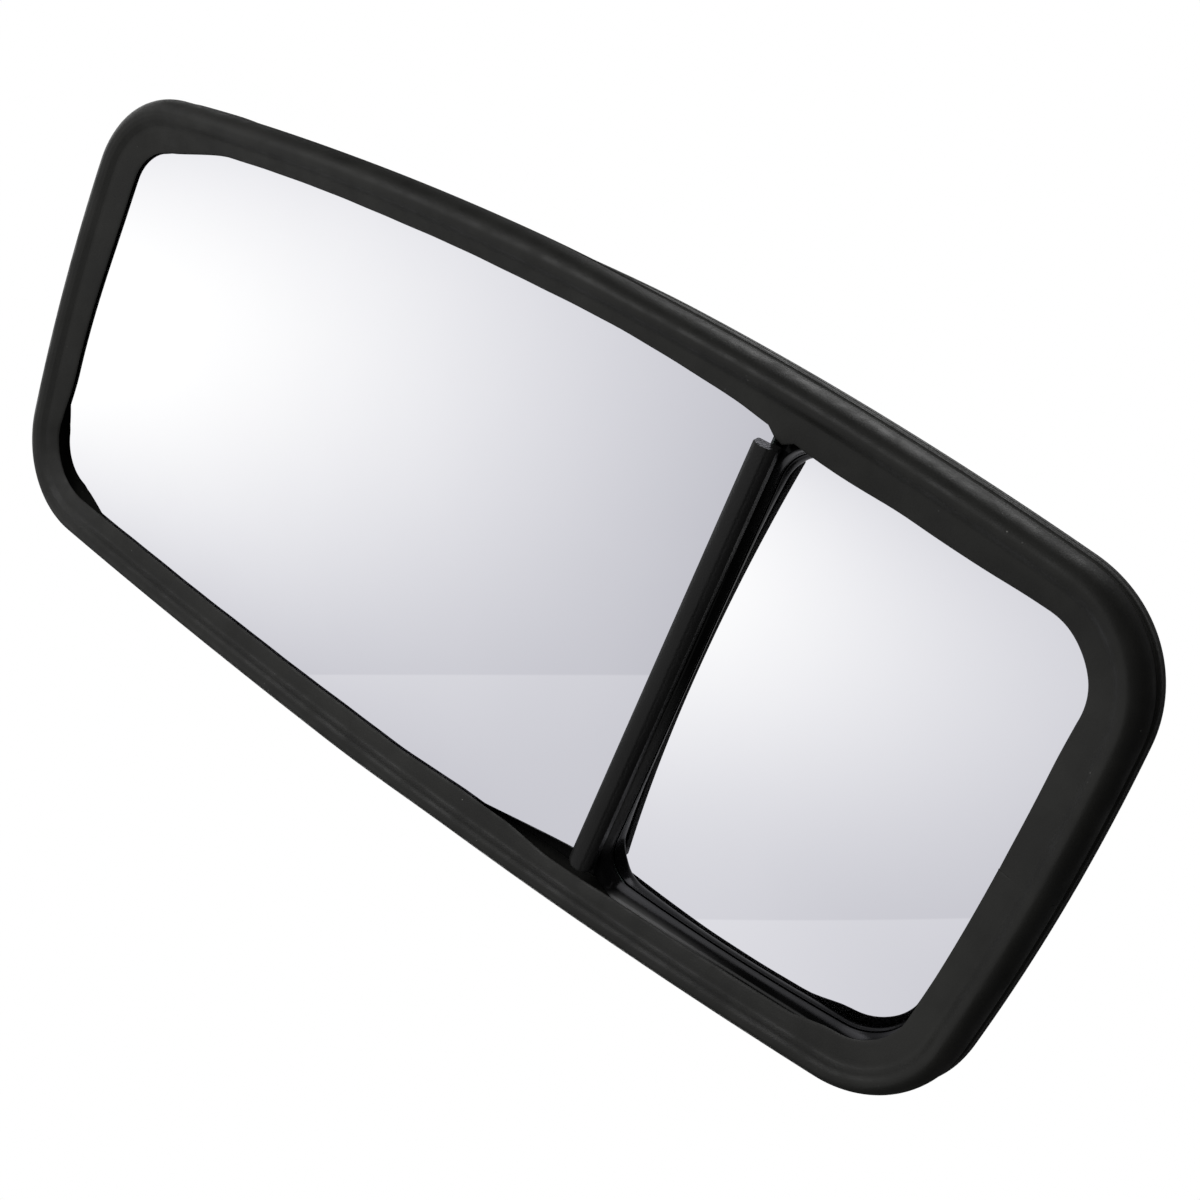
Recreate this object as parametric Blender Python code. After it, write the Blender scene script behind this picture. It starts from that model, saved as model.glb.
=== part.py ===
"""Towing mirror head with a flat main glass above a convex wide angle glass.

The head is held from behind by a ball stud in a clamp that grips the mirror arm's round tube.
Lengths are in millimetres and are scaled to metres when a mesh is made.
Axes: +Z up, -Y towards the driver, +X to the right of someone looking at the glass.
The origin lies on the arm tube's axis, halfway up the clamp.
"""
import math

import bmesh
import bpy

for old in list(bpy.data.objects):
    bpy.data.objects.remove(old, do_unlink=True)

MM = 0.001

# ---- driving dimensions, mm ------------------------------------------------------------
LENGTH = 430.0           # overall height of the head
HALF_WIDTH = 94.8        # half the width at mid height
# how far a long side curves in by the end of the head, then the outer corner radius
TOP_RIGHT = (16.8, 35.5)
TOP_LEFT = (6.3, 40.5)   # the left side is the straighter one
LOW_LEFT = (12.6, 35.0)
LOW_RIGHT = (18.6, 40.5)
END_BULGE = 6.9          # how far each short end curves out

FACE_PLANE = -105.0      # where the gasket is widest, measured from the tube axis
BALL_Y = -71.0           # ball centre
BALL_R = 14.0
SEAT_IN, SEAT_OUT = 14.3, 17.7
SOCKET_R = 18.0
NECK_R = 5.5

GLASS_Y = -2.1           # front of the flat glass; the gasket's lip lies just over it
GLASS_T = 3.0
MAIN_INSET = 12.4        # edge of the flat glass, in from the outline
MAIN_LOW = -88.4         # its lower edge
PLATE_FRONT = 7.8        # backing plate, behind the foam pad
WIDE_INSET = 14.6        # outside of the wide angle frame, in from the outline
WIDE_TOP = -90.2         # its upper edge
WIDE_RIGHT = (18.6, 36.5)   # side drop and corner its lower right is drawn from
WIDE_CORNER = 13.0       # top corners of its ridge
WIDE_BLOCK = 4.0         # top corners of its outside, squarer than the ridge
WIDE_RADIUS = 600.0      # radius of the convex glass
WIDE_CENTRE = -144.0
CROWN = -0.8             # its highest point, measured from the face plane
WIDE_T = 2.2
FLOOR = 7.9              # inside of the tray behind it
REAR_Y = 46.0            # outer face of the housing's back wall
WALL = 3.0

TUBE_R = 11.0            # arm tube the clamp is made for, 22 mm
LINER_OUT = 13.0
CLAMP_BORE = 13.3
CLAMP_H = 44.0
BOLT_X = 30.0
GAP = 0.3                # assembly clearance between pieces that touch

# ---- materials -------------------------------------------------------------------------
LOOKS = {
    "gasket_rubber": ((0.022, 0.022, 0.020), 0.0, 0.55),
    "housing_plastic": ((0.026, 0.026, 0.027), 0.0, 0.6),
    "gloss_black_plastic": ((0.006, 0.006, 0.006), 0.0, 0.18),
    "black_plastic": ((0.02, 0.02, 0.02), 0.0, 0.45),
    "mirror_glass": ((0.86, 0.87, 0.89), 1.0, 0.03),
    "foam": ((0.05, 0.05, 0.055), 0.0, 0.95),
    "nylon": ((0.72, 0.70, 0.64), 0.0, 0.4),
    "zinc_steel": ((0.62, 0.63, 0.64), 1.0, 0.32),
    "black_steel": ((0.03, 0.03, 0.032), 0.0, 0.42),
    "cast_aluminium": ((0.05, 0.05, 0.053), 0.35, 0.5),
    "liner_rubber": ((0.018, 0.018, 0.018), 0.0, 0.8),
}
MATS = {}
for slot, (colour, metal, rough) in LOOKS.items():
    mat = bpy.data.materials.new(slot)
    mat.use_nodes = True
    shader = mat.node_tree.nodes["Principled BSDF"]
    shader.inputs["Base Color"].default_value = (*colour, 1.0)
    shader.inputs["Metallic"].default_value = metal
    shader.inputs["Roughness"].default_value = rough
    MATS[slot] = mat


# ---- mesh helpers ----------------------------------------------------------------------
def finish(name, bm, slot, smooth=35.0, hidden=False):
    """Store a bmesh in millimetres as an object in metres."""
    bmesh.ops.recalc_face_normals(bm, faces=bm.faces)
    bmesh.ops.scale(bm, vec=(MM, MM, MM), verts=bm.verts)
    mesh = bpy.data.meshes.new(name)
    bm.to_mesh(mesh)
    bm.free()
    ob = bpy.data.objects.new(name, mesh)
    bpy.context.scene.collection.objects.link(ob)
    if hidden:
        ob.hide_render = True
        ob.display_type = "WIRE"
        return ob
    mesh.materials.append(MATS[slot])
    mesh.shade_smooth()
    mesh.set_sharp_from_angle(angle=math.radians(smooth))
    return ob


def loft_into(bm, rings, closed=False):
    """Join equal rings of points; an open loft is closed by a flat face at each end."""
    rows = [[bm.verts.new(p) for p in ring] for ring in rings]
    n = len(rows[0])
    pairs = list(zip(rows, rows[1:] + rows[:1])) if closed else list(zip(rows, rows[1:]))
    for a, b in pairs:
        for i in range(n):
            j = (i + 1) % n
            bm.faces.new((a[i], a[j], b[j], b[i]))
    if not closed:
        bm.faces.new(rows[0])
        bm.faces.new(rows[-1])


def loft(name, rings, slot, closed=False, smooth=35.0, hidden=False):
    bm = bmesh.new()
    loft_into(bm, rings, closed)
    return finish(name, bm, slot, smooth, hidden)


def turned(section, n=36, x=0.0, z=0.0, hexes=()):
    """Rings about an axis along Y; steps listed in hexes are six sided with r across flats."""
    rings = []
    for k, (r, y) in enumerate(section):
        ring = []
        for i in range(n):
            a = 2 * math.pi * i / n
            rr = r
            if k in hexes:
                rr = r / math.cos((a + math.pi / 6) % (math.pi / 3) - math.pi / 6)
            ring.append((x + rr * math.cos(a), y, z + rr * math.sin(a)))
        rings.append(ring)
    return rings


def prism(outline, z0, z1):
    return [[(x, y, z0) for x, y in outline], [(x, y, z1) for x, y in outline]]


def cut(target, cutter, op="DIFFERENCE"):
    mod = target.modifiers.new(op.lower(), "BOOLEAN")
    mod.operation = op
    mod.solver = "EXACT"
    mod.object = cutter


def cylinders(name, spots, r, y0, y1, n=24):
    """One hidden object holding several cylinders along Y."""
    bm = bmesh.new()
    for x, z in spots:
        loft_into(bm, turned([(r, y0), (r, y1)], n, x, z))
    return finish(name, bm, None, hidden=True)


def smooth_step(t):
    t = min(max(t, 0.0), 1.0)
    return t * t * (3 - 2 * t)


# ---- the head's outline ------------------------------------------------------------------
def arc_points(centre, radius, a0, a1, n):
    """Points and outward normals along an arc, n steps, both ends included."""
    out = []
    for i in range(n + 1):
        a = a0 + (a1 - a0) * i / n
        nx, nz = math.cos(a), math.sin(a)
        out.append((centre[0] + radius * nx, centre[1] + radius * nz, nx, nz))
    return out


def side_circle(drop):
    r = ((LENGTH / 2) ** 2 + drop ** 2) / (2 * drop)
    return (HALF_WIDTH - r, 0.0), r


def end_circle():
    r = (HALF_WIDTH ** 2 + END_BULGE ** 2) / (2 * END_BULGE)
    return (0.0, LENGTH / 2 - r), r


def corner_centre(c1, r1, c2, r2):
    """Centre of the corner arc that touches two arcs from inside: where two circles meet."""
    dx, dz = c2[0] - c1[0], c2[1] - c1[1]
    d = math.hypot(dx, dz)
    a = (r1 * r1 - r2 * r2 + d * d) / (2 * d)
    h = math.sqrt(r1 * r1 - a * a)
    ux, uz = dx / d, dz / d
    spots = [(c1[0] + a * ux - s * h * uz, c1[1] + a * uz + s * h * ux) for s in (1, -1)]
    return max(spots, key=lambda p: p[0] + p[1])


def quarter(drop, corner):
    """First quarter of the outline, from the side's middle to the end's middle."""
    c1, r1 = side_circle(drop)
    c2, r2 = end_circle()
    c = corner_centre(c1, r1 - corner, c2, r2 - corner)
    a1 = math.atan2(c[1] - c1[1], c[0] - c1[0])
    a2 = math.atan2(c[1] - c2[1], c[0] - c2[0])
    pts = arc_points(c1, r1, 0.0, a1, 8)
    pts += arc_points(c, corner, a1, a2, 8)[1:]
    pts += arc_points(c2, r2, a2, math.pi / 2, 4)[1:]
    return pts


def flip(pts, sx, sz):
    return [(x * sx, z * sz, nx * sx, nz * sz) for x, z, nx, nz in pts]


OUTLINE = (quarter(*TOP_RIGHT) + flip(quarter(*TOP_LEFT), -1, 1)[::-1][1:]
           + flip(quarter(*LOW_LEFT), -1, -1)[1:] + flip(quarter(*LOW_RIGHT), 1, -1)[::-1][1:-1])


def wide_half(drop, corner, top_corner):
    """Half of the wide angle frame's outline, drawn with z pointing down."""
    c1, r1 = side_circle(drop)
    c2, r2 = end_circle()
    c = corner_centre(c1, r1 - corner, c2, r2 - corner)
    a1 = math.atan2(c[1] - c1[1], c[0] - c1[0])
    a2 = math.atan2(c[1] - c2[1], c[0] - c2[0])
    ri = r1 - WIDE_INSET
    zc = -WIDE_TOP + top_corner
    xc = c1[0] + math.sqrt((ri - top_corner) ** 2 - zc ** 2)
    a0 = math.atan2(zc, xc - c1[0])
    half = [(x * xc / 5, -WIDE_TOP, 0.0, -1.0) for x in range(5)]
    half += arc_points((xc, zc), top_corner, -math.pi / 2, a0, 7)
    half += arc_points(c1, ri, a0, a1, 6)[1:]
    half += arc_points(c, corner - WIDE_INSET, a1, a2, 8)[1:]
    return half + arc_points(c2, r2 - WIDE_INSET, a2, math.pi / 2, 5)[1:]


def wide_outline(top_corner):
    """The head's lower end inset, closed by a straight top."""
    return (flip(wide_half(*WIDE_RIGHT, top_corner), 1, -1)[::-1]
            + flip(wide_half(*LOW_LEFT, top_corner), -1, -1)[1:-1])


WIDE, WIDE_OUT = wide_outline(WIDE_CORNER), wide_outline(WIDE_BLOCK)


def ring(base, inset, y):
    """A ring at a fixed or per-point inset and depth."""
    out = []
    for x, z, nx, nz in base:
        d = inset(x, z) if callable(inset) else inset
        yy = y(x, z) if callable(y) else y
        out.append((x - d * nx, FACE_PLANE + yy, z - d * nz))
    return out


def low_zone(z):
    return smooth_step((18.0 - z) / 60.0)


# ---- edge gasket -------------------------------------------------------------------------
def lip_reach(x, z):
    """How far in the gasket's lip reaches; it widens past a small step near the lower left."""
    right = smooth_step((x + 55.0) / 70.0)
    down = smooth_step((-25.0 - z) / 85.0)
    end = smooth_step((-166.0 - z) / 15.0) * (1 - right)
    corner = smooth_step((z - 120.0) / 60.0) * right
    sunk = smooth_step((-84.0 - z) / 30.0)
    wide = 1.2 * smooth_step((-70.0 - z) / 18.0) * (1 - smooth_step((-112.0 - z) / 25.0))
    low_corner = smooth_step((x - 38.0) / 24.0) * smooth_step((-158.0 - z) / 28.0)
    left = (smooth_step((-5.0 - z) / 35.0) - 2.0 * smooth_step((-56.0 - z) / 24.0)
            + 0.6 * smooth_step((-85.0 - z) / 30.0)) * (1 - right)
    top = (2.6 * smooth_step((x + 62.0) / 30.0) + 2.2 * smooth_step((x + 30.0) / 70.0)) \
        * smooth_step((z - 150.0) / 40.0)
    return (15.3 + right * (2.6 * down + 1.4 * sunk + wide - 1.3) + left + 2.4 * end
            + 0.9 * corner - 3.2 * low_corner + top)


def lip_depth(x, z):
    """The lip sinks a little beside the wide angle glass on the right."""
    return -3.2 + 1.4 * smooth_step((x + 55.0) / 70.0) * smooth_step((-84.0 - z) / 30.0)


def wall_inset(x, z):
    """Foot of the gasket's inner wall, where it meets the flat glass."""
    upper = smooth_step((z + 100.0) / 25.0)
    away = max(smooth_step(-x / 40.0), smooth_step((z - 150.0) / 30.0))
    return 12.9 + upper * (0.3 + 1.3 * away)


def gasket_rings():
    outer = [(1.3, 7.5), (0.45, 7.2), (0.2, 6.4), (0.4, 5.5), (0.8, 5.0), (0.35, 4.4),
             (0.05, 3.0), (0.0, 1.5), (0.1, -0.8), (0.7, -3.2), (1.9, -5.4), (3.6, -6.9),
             (5.4, -7.6), (7.0, -7.45), (8.2, -6.75), (9.1, -5.75), (10.7, -4.65)]
    rings = []
    for d, y in outer:
        shrink = (0.45 if y > 5.2 else 1.2) * (1 - smooth_step(d / 9.0))
        rings.append(ring(OUTLINE, lambda x, z, d=d, s=shrink: d + s * low_zone(z), y))
    for part in (0.35, 0.7, 0.93):
        rings.append(ring(OUTLINE,
                          lambda x, z, p=part: 10.7 + p * (lip_reach(x, z) - 10.7),
                          lambda x, z, p=part: -4.65 + p * (lip_depth(x, z) + 4.65)))
    rings.append(ring(OUTLINE, lip_reach, lambda x, z: lip_depth(x, z) + 0.15))
    rings.append(ring(OUTLINE, lambda x, z: lip_reach(x, z) - 0.1,
                      lambda x, z: lip_depth(x, z) + 0.45))
    rings.append(ring(OUTLINE, lambda x, z: min(wall_inset(x, z), lip_reach(x, z) - 0.6),
                      GLASS_Y - GAP))
    rings.append(ring(OUTLINE, 12.0, GLASS_Y - GAP))
    for d, y in [(12.0, 7.5), (6.0, 7.5), (6.0, 1.6), (2.9, 1.6), (2.9, 7.5)]:
        rings.append(ring(OUTLINE, d, y))
    return rings


loft("edge_gasket", gasket_rings(), "gasket_rubber", closed=True, smooth=50)


# ---- rear housing ------------------------------------------------------------------------
def flange_edge(x, z):
    """The housing's rim shows past the gasket round the lower end and the top corners."""
    corner = smooth_step((z - 135.0) / 30.0) * smooth_step((abs(x) - 60.0) / 15.0)
    return 1.0 - 0.9 * low_zone(z) - 1.3 * corner


def rim(extra):
    return lambda x, z: flange_edge(x, z) + extra


SCREWS_MAIN = [(-42.0, 118.0), (42.0, 118.0)]
SCREWS_WIDE = [(-38.0, -140.0), (38.0, -140.0)]
SOCKET_PCD = 26.5
SCREWS_SOCKET = [(SOCKET_PCD * math.cos(a), SOCKET_PCD * math.sin(a))
                 for a in (math.pi / 2, math.pi * 7 / 6, math.pi * 11 / 6)]

housing_rings = [ring(OUTLINE, d, y) for d, y in
                 [(30, 46), (21.5, 43.9), (14, 39.2), (8.2, 31.6), (5.0, 22), (3.4, 13),
                  (2.7, 11.3)]]
housing_rings += [ring(OUTLINE, rim(0.5), 10.9), ring(OUTLINE, rim(0.0), 10.4),
                  ring(OUTLINE, rim(0.0), 8.2), ring(OUTLINE, rim(0.4), 7.8)]
housing_rings += [ring(OUTLINE, d, y) for d, y in
                  [(3.2, 7.8), (3.2, 1.9), (5.7, 1.9), (5.9, 12), (7.6, 21), (10.6, 29.8),
                   (15.8, 36.8), (22.6, 41.0), (28.5, 43)]]
housing = loft("rear_housing", housing_rings, "housing_plastic")
rear0, rear1 = FACE_PLANE + REAR_Y - 12, FACE_PLANE + REAR_Y + 6
cut(housing, cylinders("cut_socket", [(0, 0)], 17.4, rear0, rear1, 48))
cut(housing, cylinders("cut_rear", SCREWS_MAIN + SCREWS_WIDE + SCREWS_SOCKET, 2.3, rear0, rear1))


# ---- flat main glass, its pad and backing plate --------------------------------------------
def main_ring(inset, y, low, relief=10.0):
    """The head's outline inset, cut off behind the divider, with a relieved lower left corner."""
    pts = []
    for x, z, nx, nz in OUTLINE:
        d = inset + (relief * smooth_step((-5.0 - z) / 100.0) if x < -60 else 0.0)
        d += 0.8 * relief * smooth_step((-x - 25.0) / 35.0) * smooth_step((z - 150.0) / 30.0)
        pts.append((x - d * nx, z - d * nz))
    keep = [p for p in pts if p[1] > low + 2.0]
    split = next(i for i, p in enumerate(keep) if p[0] < 0 and p[1] < keep[i - 1][1]
                 and keep[(i + 1) % len(keep)][0] > 0)
    left, right = keep[:split + 1], keep[split + 1:]
    t = (keep[split][1] - low) * 0.1
    xl, xr = left[-1][0], right[0][0]
    foot = [(xl + t, low)] + [(xl + (xr - xl) * k / 6, low) for k in range(1, 6)] + [(xr - t, low)]
    return [(x, FACE_PLANE + y, z) for x, z in left + foot + right]


y0 = GLASS_Y
loft("main_mirror_glass",
     [main_ring(MAIN_INSET + 0.5, y0, MAIN_LOW + 0.5), main_ring(MAIN_INSET, y0 + 0.5, MAIN_LOW),
      main_ring(MAIN_INSET, y0 + GLASS_T - 0.4, MAIN_LOW),
      main_ring(MAIN_INSET + 0.4, y0 + GLASS_T, MAIN_LOW + 0.4)], "mirror_glass")
y0 += GLASS_T + 0.1
loft("main_foam_pad", [main_ring(19.0, y0, MAIN_LOW + 8),
                       main_ring(19.0, PLATE_FRONT - 0.1, MAIN_LOW + 8)], "foam")
y0 = PLATE_FRONT
plate = loft("main_backing_plate", [main_ring(7.2, y0, MAIN_LOW, 0), main_ring(7.2, y0 + 2.0, MAIN_LOW, 0)],
             "black_plastic")
POST_END = FACE_PLANE + REAR_Y - WALL - GAP
cut(plate, cylinders("add_posts_main", SCREWS_MAIN, 5.0, FACE_PLANE + y0 + 1.0, POST_END), "UNION")
cut(plate, cylinders("cut_posts_main", SCREWS_MAIN, 2.0, POST_END - 22, POST_END + 4))

# ---- wide angle frame, glass and pad ---------------------------------------------------------
def convex(x, z, crown):
    return crown + (x * x + (z - WIDE_CENTRE) ** 2) / (2 * WIDE_RADIUS)


def frame_flange(x, z):
    """The tray's flange tucks behind the gasket everywhere but along the divider."""
    return -6.3 * smooth_step((-102.0 - z) / 9.0)


def bowed(inset, crown, scale=1.0):
    """A ring on the convex surface, shrunk towards the glass's middle.

    Beside the divider it lies up to 1 mm further in, less towards the corners.
    """
    out = []
    for x, z, nx, nz in WIDE:
        inset_here = inset + max(nz, 0.0) * (1.1 - 0.000375 * x * x)
        px = (x - inset_here * nx) * scale
        pz = WIDE_CENTRE + (z - inset_here * nz - WIDE_CENTRE) * scale
        out.append((px, FACE_PLANE + convex(px, pz, crown), pz))
    return out


# outside wall, ridge, slope down over the glass's edge, then back under it to the floor
frame_rings = [ring(WIDE_OUT, frame_flange, 9.8), ring(WIDE_OUT, frame_flange, 7.8)]
frame_rings += [ring(WIDE_OUT, d, y) for d, y in ((0, 7.8), (0, 0.4), (0.5, -0.1))]
frame_rings += [ring(WIDE, d, y) for d, y in ((0.4, -0.6), (0.9, -1.05), (1.4, -0.9))]
frame_rings += [bowed(2.35, CROWN - 0.6), bowed(2.4, CROWN - 0.35), bowed(1.5, CROWN - 0.35)]
frame_rings += [[(x, FACE_PLANE + FLOOR, z) for x, y, z in bowed(1.5, 0.0)]]
tray = loft("wide_angle_frame", frame_rings, "gloss_black_plastic")
cut(tray, cylinders("add_posts_wide", SCREWS_WIDE, 5.0, FACE_PLANE + 8.0, POST_END), "UNION")
cut(tray, cylinders("cut_posts_wide", SCREWS_WIDE, 2.0, POST_END - 22, POST_END + 4))

steps = (0.12, 0.3, 0.48, 0.66, 0.83)
glass_rings = [bowed(2.25, CROWN, s) for s in steps] + [bowed(2.25, CROWN)]
glass_rings += [bowed(1.85, CROWN + 0.4), bowed(1.85, CROWN + WIDE_T - 0.4)]
glass_rings += [bowed(2.25, CROWN + WIDE_T)] + [bowed(2.25, CROWN + WIDE_T, s) for s in steps[::-1]]
loft("wide_angle_glass", glass_rings, "mirror_glass")
y0 = CROWN + WIDE_T + 0.15
pad_rings = [bowed(11.0, y0, s) for s in steps] + [bowed(11.0, y0)]
pad_rings += [[(x, FACE_PLANE + FLOOR - 0.1, z) for x, y, z in bowed(11.0, 0.0)]]
loft("wide_angle_foam_pad", pad_rings, "foam")

# ---- divider bar -----------------------------------------------------------------------------
BAR = [(-86.0, -6.0), (-89.2, -6.0), (-90.9, -5.4), (-91.6, -4.4), (-91.6, -1.6), (-89.9, -1.6),
       (-89.9, 5.6), (-88.7, 5.6), (-88.7, -2.4), (-83.6, -2.4), (-83.6, -4.4), (-84.3, -5.4)]
bar_rings = []
mid = (BAR[0][0] + BAR[1][0]) / 2
for x, grow, foot in ((-75.4, 0.45, 0), (-74.8, 0.8, 0), (-73.4, 1, 0), (-70.0, 1, 0),
                      (-69.7, 1, 1), (65.0, 1, 1), (65.3, 1, 0), (69.4, 1, 0)):
    line = [(z, y if foot else min(y, -1.5)) for z, y in BAR]
    bar_rings.append([(x, FACE_PLANE + y, mid + (z - mid) * grow) for z, y in line])
# the right hand end is cut at a slant, leaning back from the face
bar_rings[-1] = [(x + (y - FACE_PLANE + 6.0) * 0.35, y, z) for x, y, z in bar_rings[-1]]
loft("divider_bar", bar_rings, "black_plastic")

# ---- ball socket -----------------------------------------------------------------------------
def sphere_arc(radius, a0, a1, n):
    """Points (r, y) on a sphere round the ball centre; angles in degrees from +Y."""
    out = []
    for i in range(n + 1):
        a = math.radians(a0 + (a1 - a0) * i / n)
        out.append((radius * math.sin(a), BALL_Y + radius * math.cos(a)))
    return out


inner_y = FACE_PLANE + REAR_Y - WALL          # inside of the back wall
cup = sphere_arc(SOCKET_R, 176, 90, 8)
cup += [(SOCKET_R, inner_y - GAP), (33.0, inner_y - GAP), (33.0, inner_y - 4.3),
        (23.5, inner_y - 4.3), (21.6, inner_y - 7.0)]
cup += sphere_arc(21.5, 94, 176, 6)
socket_plate = loft("socket_plate", turned(cup), "black_plastic")
cut(socket_plate, cylinders("cut_socket_plate", SCREWS_SOCKET, 2.0, inner_y - 7, inner_y + 3))

rear = FACE_PLANE + REAR_Y
cap = sphere_arc(SOCKET_R, 59, 45.5, 5)
cap += [(15.6, rear + 4.3), (16.6, rear + 4.8), (21.0, rear + 3.6), (31.2, rear + 3.6), (33.0, rear + 2.2),
        (33.0, rear + GAP), (17.1, rear + GAP), (17.1, inner_y + 0.1)]
socket_ring = loft("socket_ring", turned(cap), "black_steel", closed=True)
cut(socket_ring, cylinders("cut_socket_ring", SCREWS_SOCKET, 2.3, rear - 2, rear + 9))


def pan_screw(name, x, z, seat, length):
    """Pan head screw pointing along -Y, its head resting at y = seat."""
    body = [(0.4, seat + 0.9), (1.3, seat + 1.0), (1.3, seat + 2.5), (2.6, seat + 2.4),
            (3.4, seat + 1.8), (3.8, seat + 0.9), (3.8, seat), (1.7, seat),
            (1.7, seat - length + 1.2), (0.7, seat - length)]
    return loft(name, turned(body, 12, x, z, hexes=(0, 1, 2)), "zinc_steel")


for k, (x, z) in enumerate(SCREWS_SOCKET):
    pan_screw(f"socket_screw_{k + 1}", x, z, rear + 3.9, 10.4)
for k, (x, z) in enumerate(SCREWS_MAIN + SCREWS_WIDE):
    pan_screw(f"housing_screw_{k + 1}", x, z, rear + GAP, 22.0)

seat = sphere_arc(SEAT_IN, 52, 128, 8) + sphere_arc(SEAT_OUT, 128, 52, 8)
loft("ball_seat", turned(seat), "nylon", closed=True)

# ---- ball stud, its washer and nut -------------------------------------------------------------
PLATE_Y = -36.7          # front of the clamp's stud plate
PLATE_T = 6.0
neck = math.degrees(math.asin(NECK_R / BALL_R))
stud = sphere_arc(BALL_R, 174, neck, 14)
stud += [(NECK_R, PLATE_Y - 5.5), (7.5, PLATE_Y - 4.6), (9.3, PLATE_Y - 4.4),
         (9.3, PLATE_Y - GAP), (6.0, PLATE_Y - GAP), (6.0, -20.2), (5.2, -19.2)]
flange = len(stud) - 5
loft("ball_stud", turned(stud, hexes=(flange, flange + 1)), "zinc_steel")
back = PLATE_Y + PLATE_T
loft("stud_washer", turned([(6.4, back + GAP), (12.0, back + GAP), (12.0, back + 2.2),
                            (6.4, back + 2.2)]), "zinc_steel", closed=True)
loft("stud_nut", turned([(6.3, back + 2.5), (8.6, back + 2.5), (9.2, back + 3.2),
                         (9.2, back + 9.8), (8.6, back + 10.4), (6.3, back + 10.4)],
                        hexes=(1, 2, 3, 4)), "zinc_steel", closed=True)

# ---- tube clamp ----------------------------------------------------------------------------------
def half_circle(r, side, split, n=20):
    """Points of a half bore from +X to -X, on the side of the given sign of Y."""
    a = math.asin(split / r)
    return [(r * math.cos(t), side * r * math.sin(t))
            for t in (a + (math.pi - 2 * a) * i / n for i in range(n + 1))]


SPLIT = 0.8
base_line = [(-22.0, PLATE_Y), (22.0, PLATE_Y), (22.0, -18.5), (20.0, -16.0), (20.0, -12.0),
             (37.5, -12.0), (38.0, -11.5), (38.0, -SPLIT)]
base_line += half_circle(CLAMP_BORE, -1, SPLIT) + [(-38.0, -SPLIT), (-38.0, -11.5)]
base_line += [(-37.5, -12.0), (-20.0, -12.0), (-20.0, -16.0), (-22.0, -18.5)]
base = loft("clamp_base", prism(base_line, -CLAMP_H / 2, CLAMP_H / 2), "cast_aluminium")
window = prism([(-15, back), (15, back), (15, -17.8), (-15, -17.8)], -30, 30)
cut(base, loft("cut_window", window, None, hidden=True))
cut(base, cylinders("cut_stud", [(0, 0)], 6.3, PLATE_Y - 4, back + 1, 48))
BOLTS = [(-BOLT_X, 0.0), (BOLT_X, 0.0)]
cut(base, cylinders("cut_base_bolts", BOLTS, 4.3, -15, 3))

cap_line = [(38.0, SPLIT), (38.0, 8.5), (37.5, 9.0), (19.6, 9.0)]
cap_line += [(18.6 * math.cos(a), 18.6 * math.sin(a))
             for a in (math.radians(30 + 120 * i / 14) for i in range(15))]
cap_line += [(-19.6, 9.0), (-37.5, 9.0), (-38.0, 8.5), (-38.0, SPLIT)]
cap_line += half_circle(CLAMP_BORE, 1, SPLIT)[::-1]
clamp_cap = loft("clamp_cap", prism(cap_line, -CLAMP_H / 2, CLAMP_H / 2), "cast_aluminium")
cut(clamp_cap, cylinders("cut_cap_bolts", BOLTS, 4.3, -3, 13))

for name, side in (("clamp_liner_front", -1), ("clamp_liner_rear", 1)):
    line = half_circle(LINER_OUT, side, 1.1) + half_circle(TUBE_R, side, 1.1)[::-1]
    loft(name, prism(line, -CLAMP_H / 2 + 0.5, CLAMP_H / 2 - 0.5), "liner_rubber")

for k, (x, z) in enumerate(BOLTS):
    bolt = [(6.0, -17.8), (6.5, -17.3), (6.5, -12.3), (4.0, -12.3), (4.0, 19.0), (3.2, 20.0)]
    loft(f"clamp_bolt_{k + 1}", turned(bolt, 24, x, z, hexes=(0, 1, 2)), "zinc_steel")
    washer = [(4.3, 9.3), (8.4, 9.3), (8.4, 10.9), (4.3, 10.9)]
    loft(f"clamp_washer_{k + 1}", turned(washer, 24, x, z), "zinc_steel", closed=True)
    nut = [(4.3, 11.2), (6.0, 11.2), (6.5, 11.7), (6.5, 17.2), (6.0, 17.7), (4.3, 17.7)]
    loft(f"clamp_nut_{k + 1}", turned(nut, 24, x, z, hexes=(1, 2, 3, 4)), "zinc_steel",
         closed=True)
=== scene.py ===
import math

import bmesh
import bpy
import numpy as np
from mathutils import Matrix, Vector


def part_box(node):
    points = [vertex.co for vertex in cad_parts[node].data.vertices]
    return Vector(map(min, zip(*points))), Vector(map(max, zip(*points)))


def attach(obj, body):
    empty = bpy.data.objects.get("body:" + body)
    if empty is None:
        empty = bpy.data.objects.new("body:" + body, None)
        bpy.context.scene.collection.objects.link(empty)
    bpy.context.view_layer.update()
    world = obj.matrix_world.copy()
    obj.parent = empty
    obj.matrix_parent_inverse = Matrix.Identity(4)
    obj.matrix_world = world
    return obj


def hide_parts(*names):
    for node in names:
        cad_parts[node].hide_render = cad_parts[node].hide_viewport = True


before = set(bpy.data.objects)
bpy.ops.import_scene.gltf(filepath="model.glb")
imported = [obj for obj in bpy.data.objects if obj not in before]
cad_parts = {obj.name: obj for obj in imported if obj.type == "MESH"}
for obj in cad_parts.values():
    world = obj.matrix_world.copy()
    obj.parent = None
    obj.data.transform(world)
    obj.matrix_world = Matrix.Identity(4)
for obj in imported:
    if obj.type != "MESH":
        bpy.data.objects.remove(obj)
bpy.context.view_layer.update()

MM = 0.001

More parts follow.
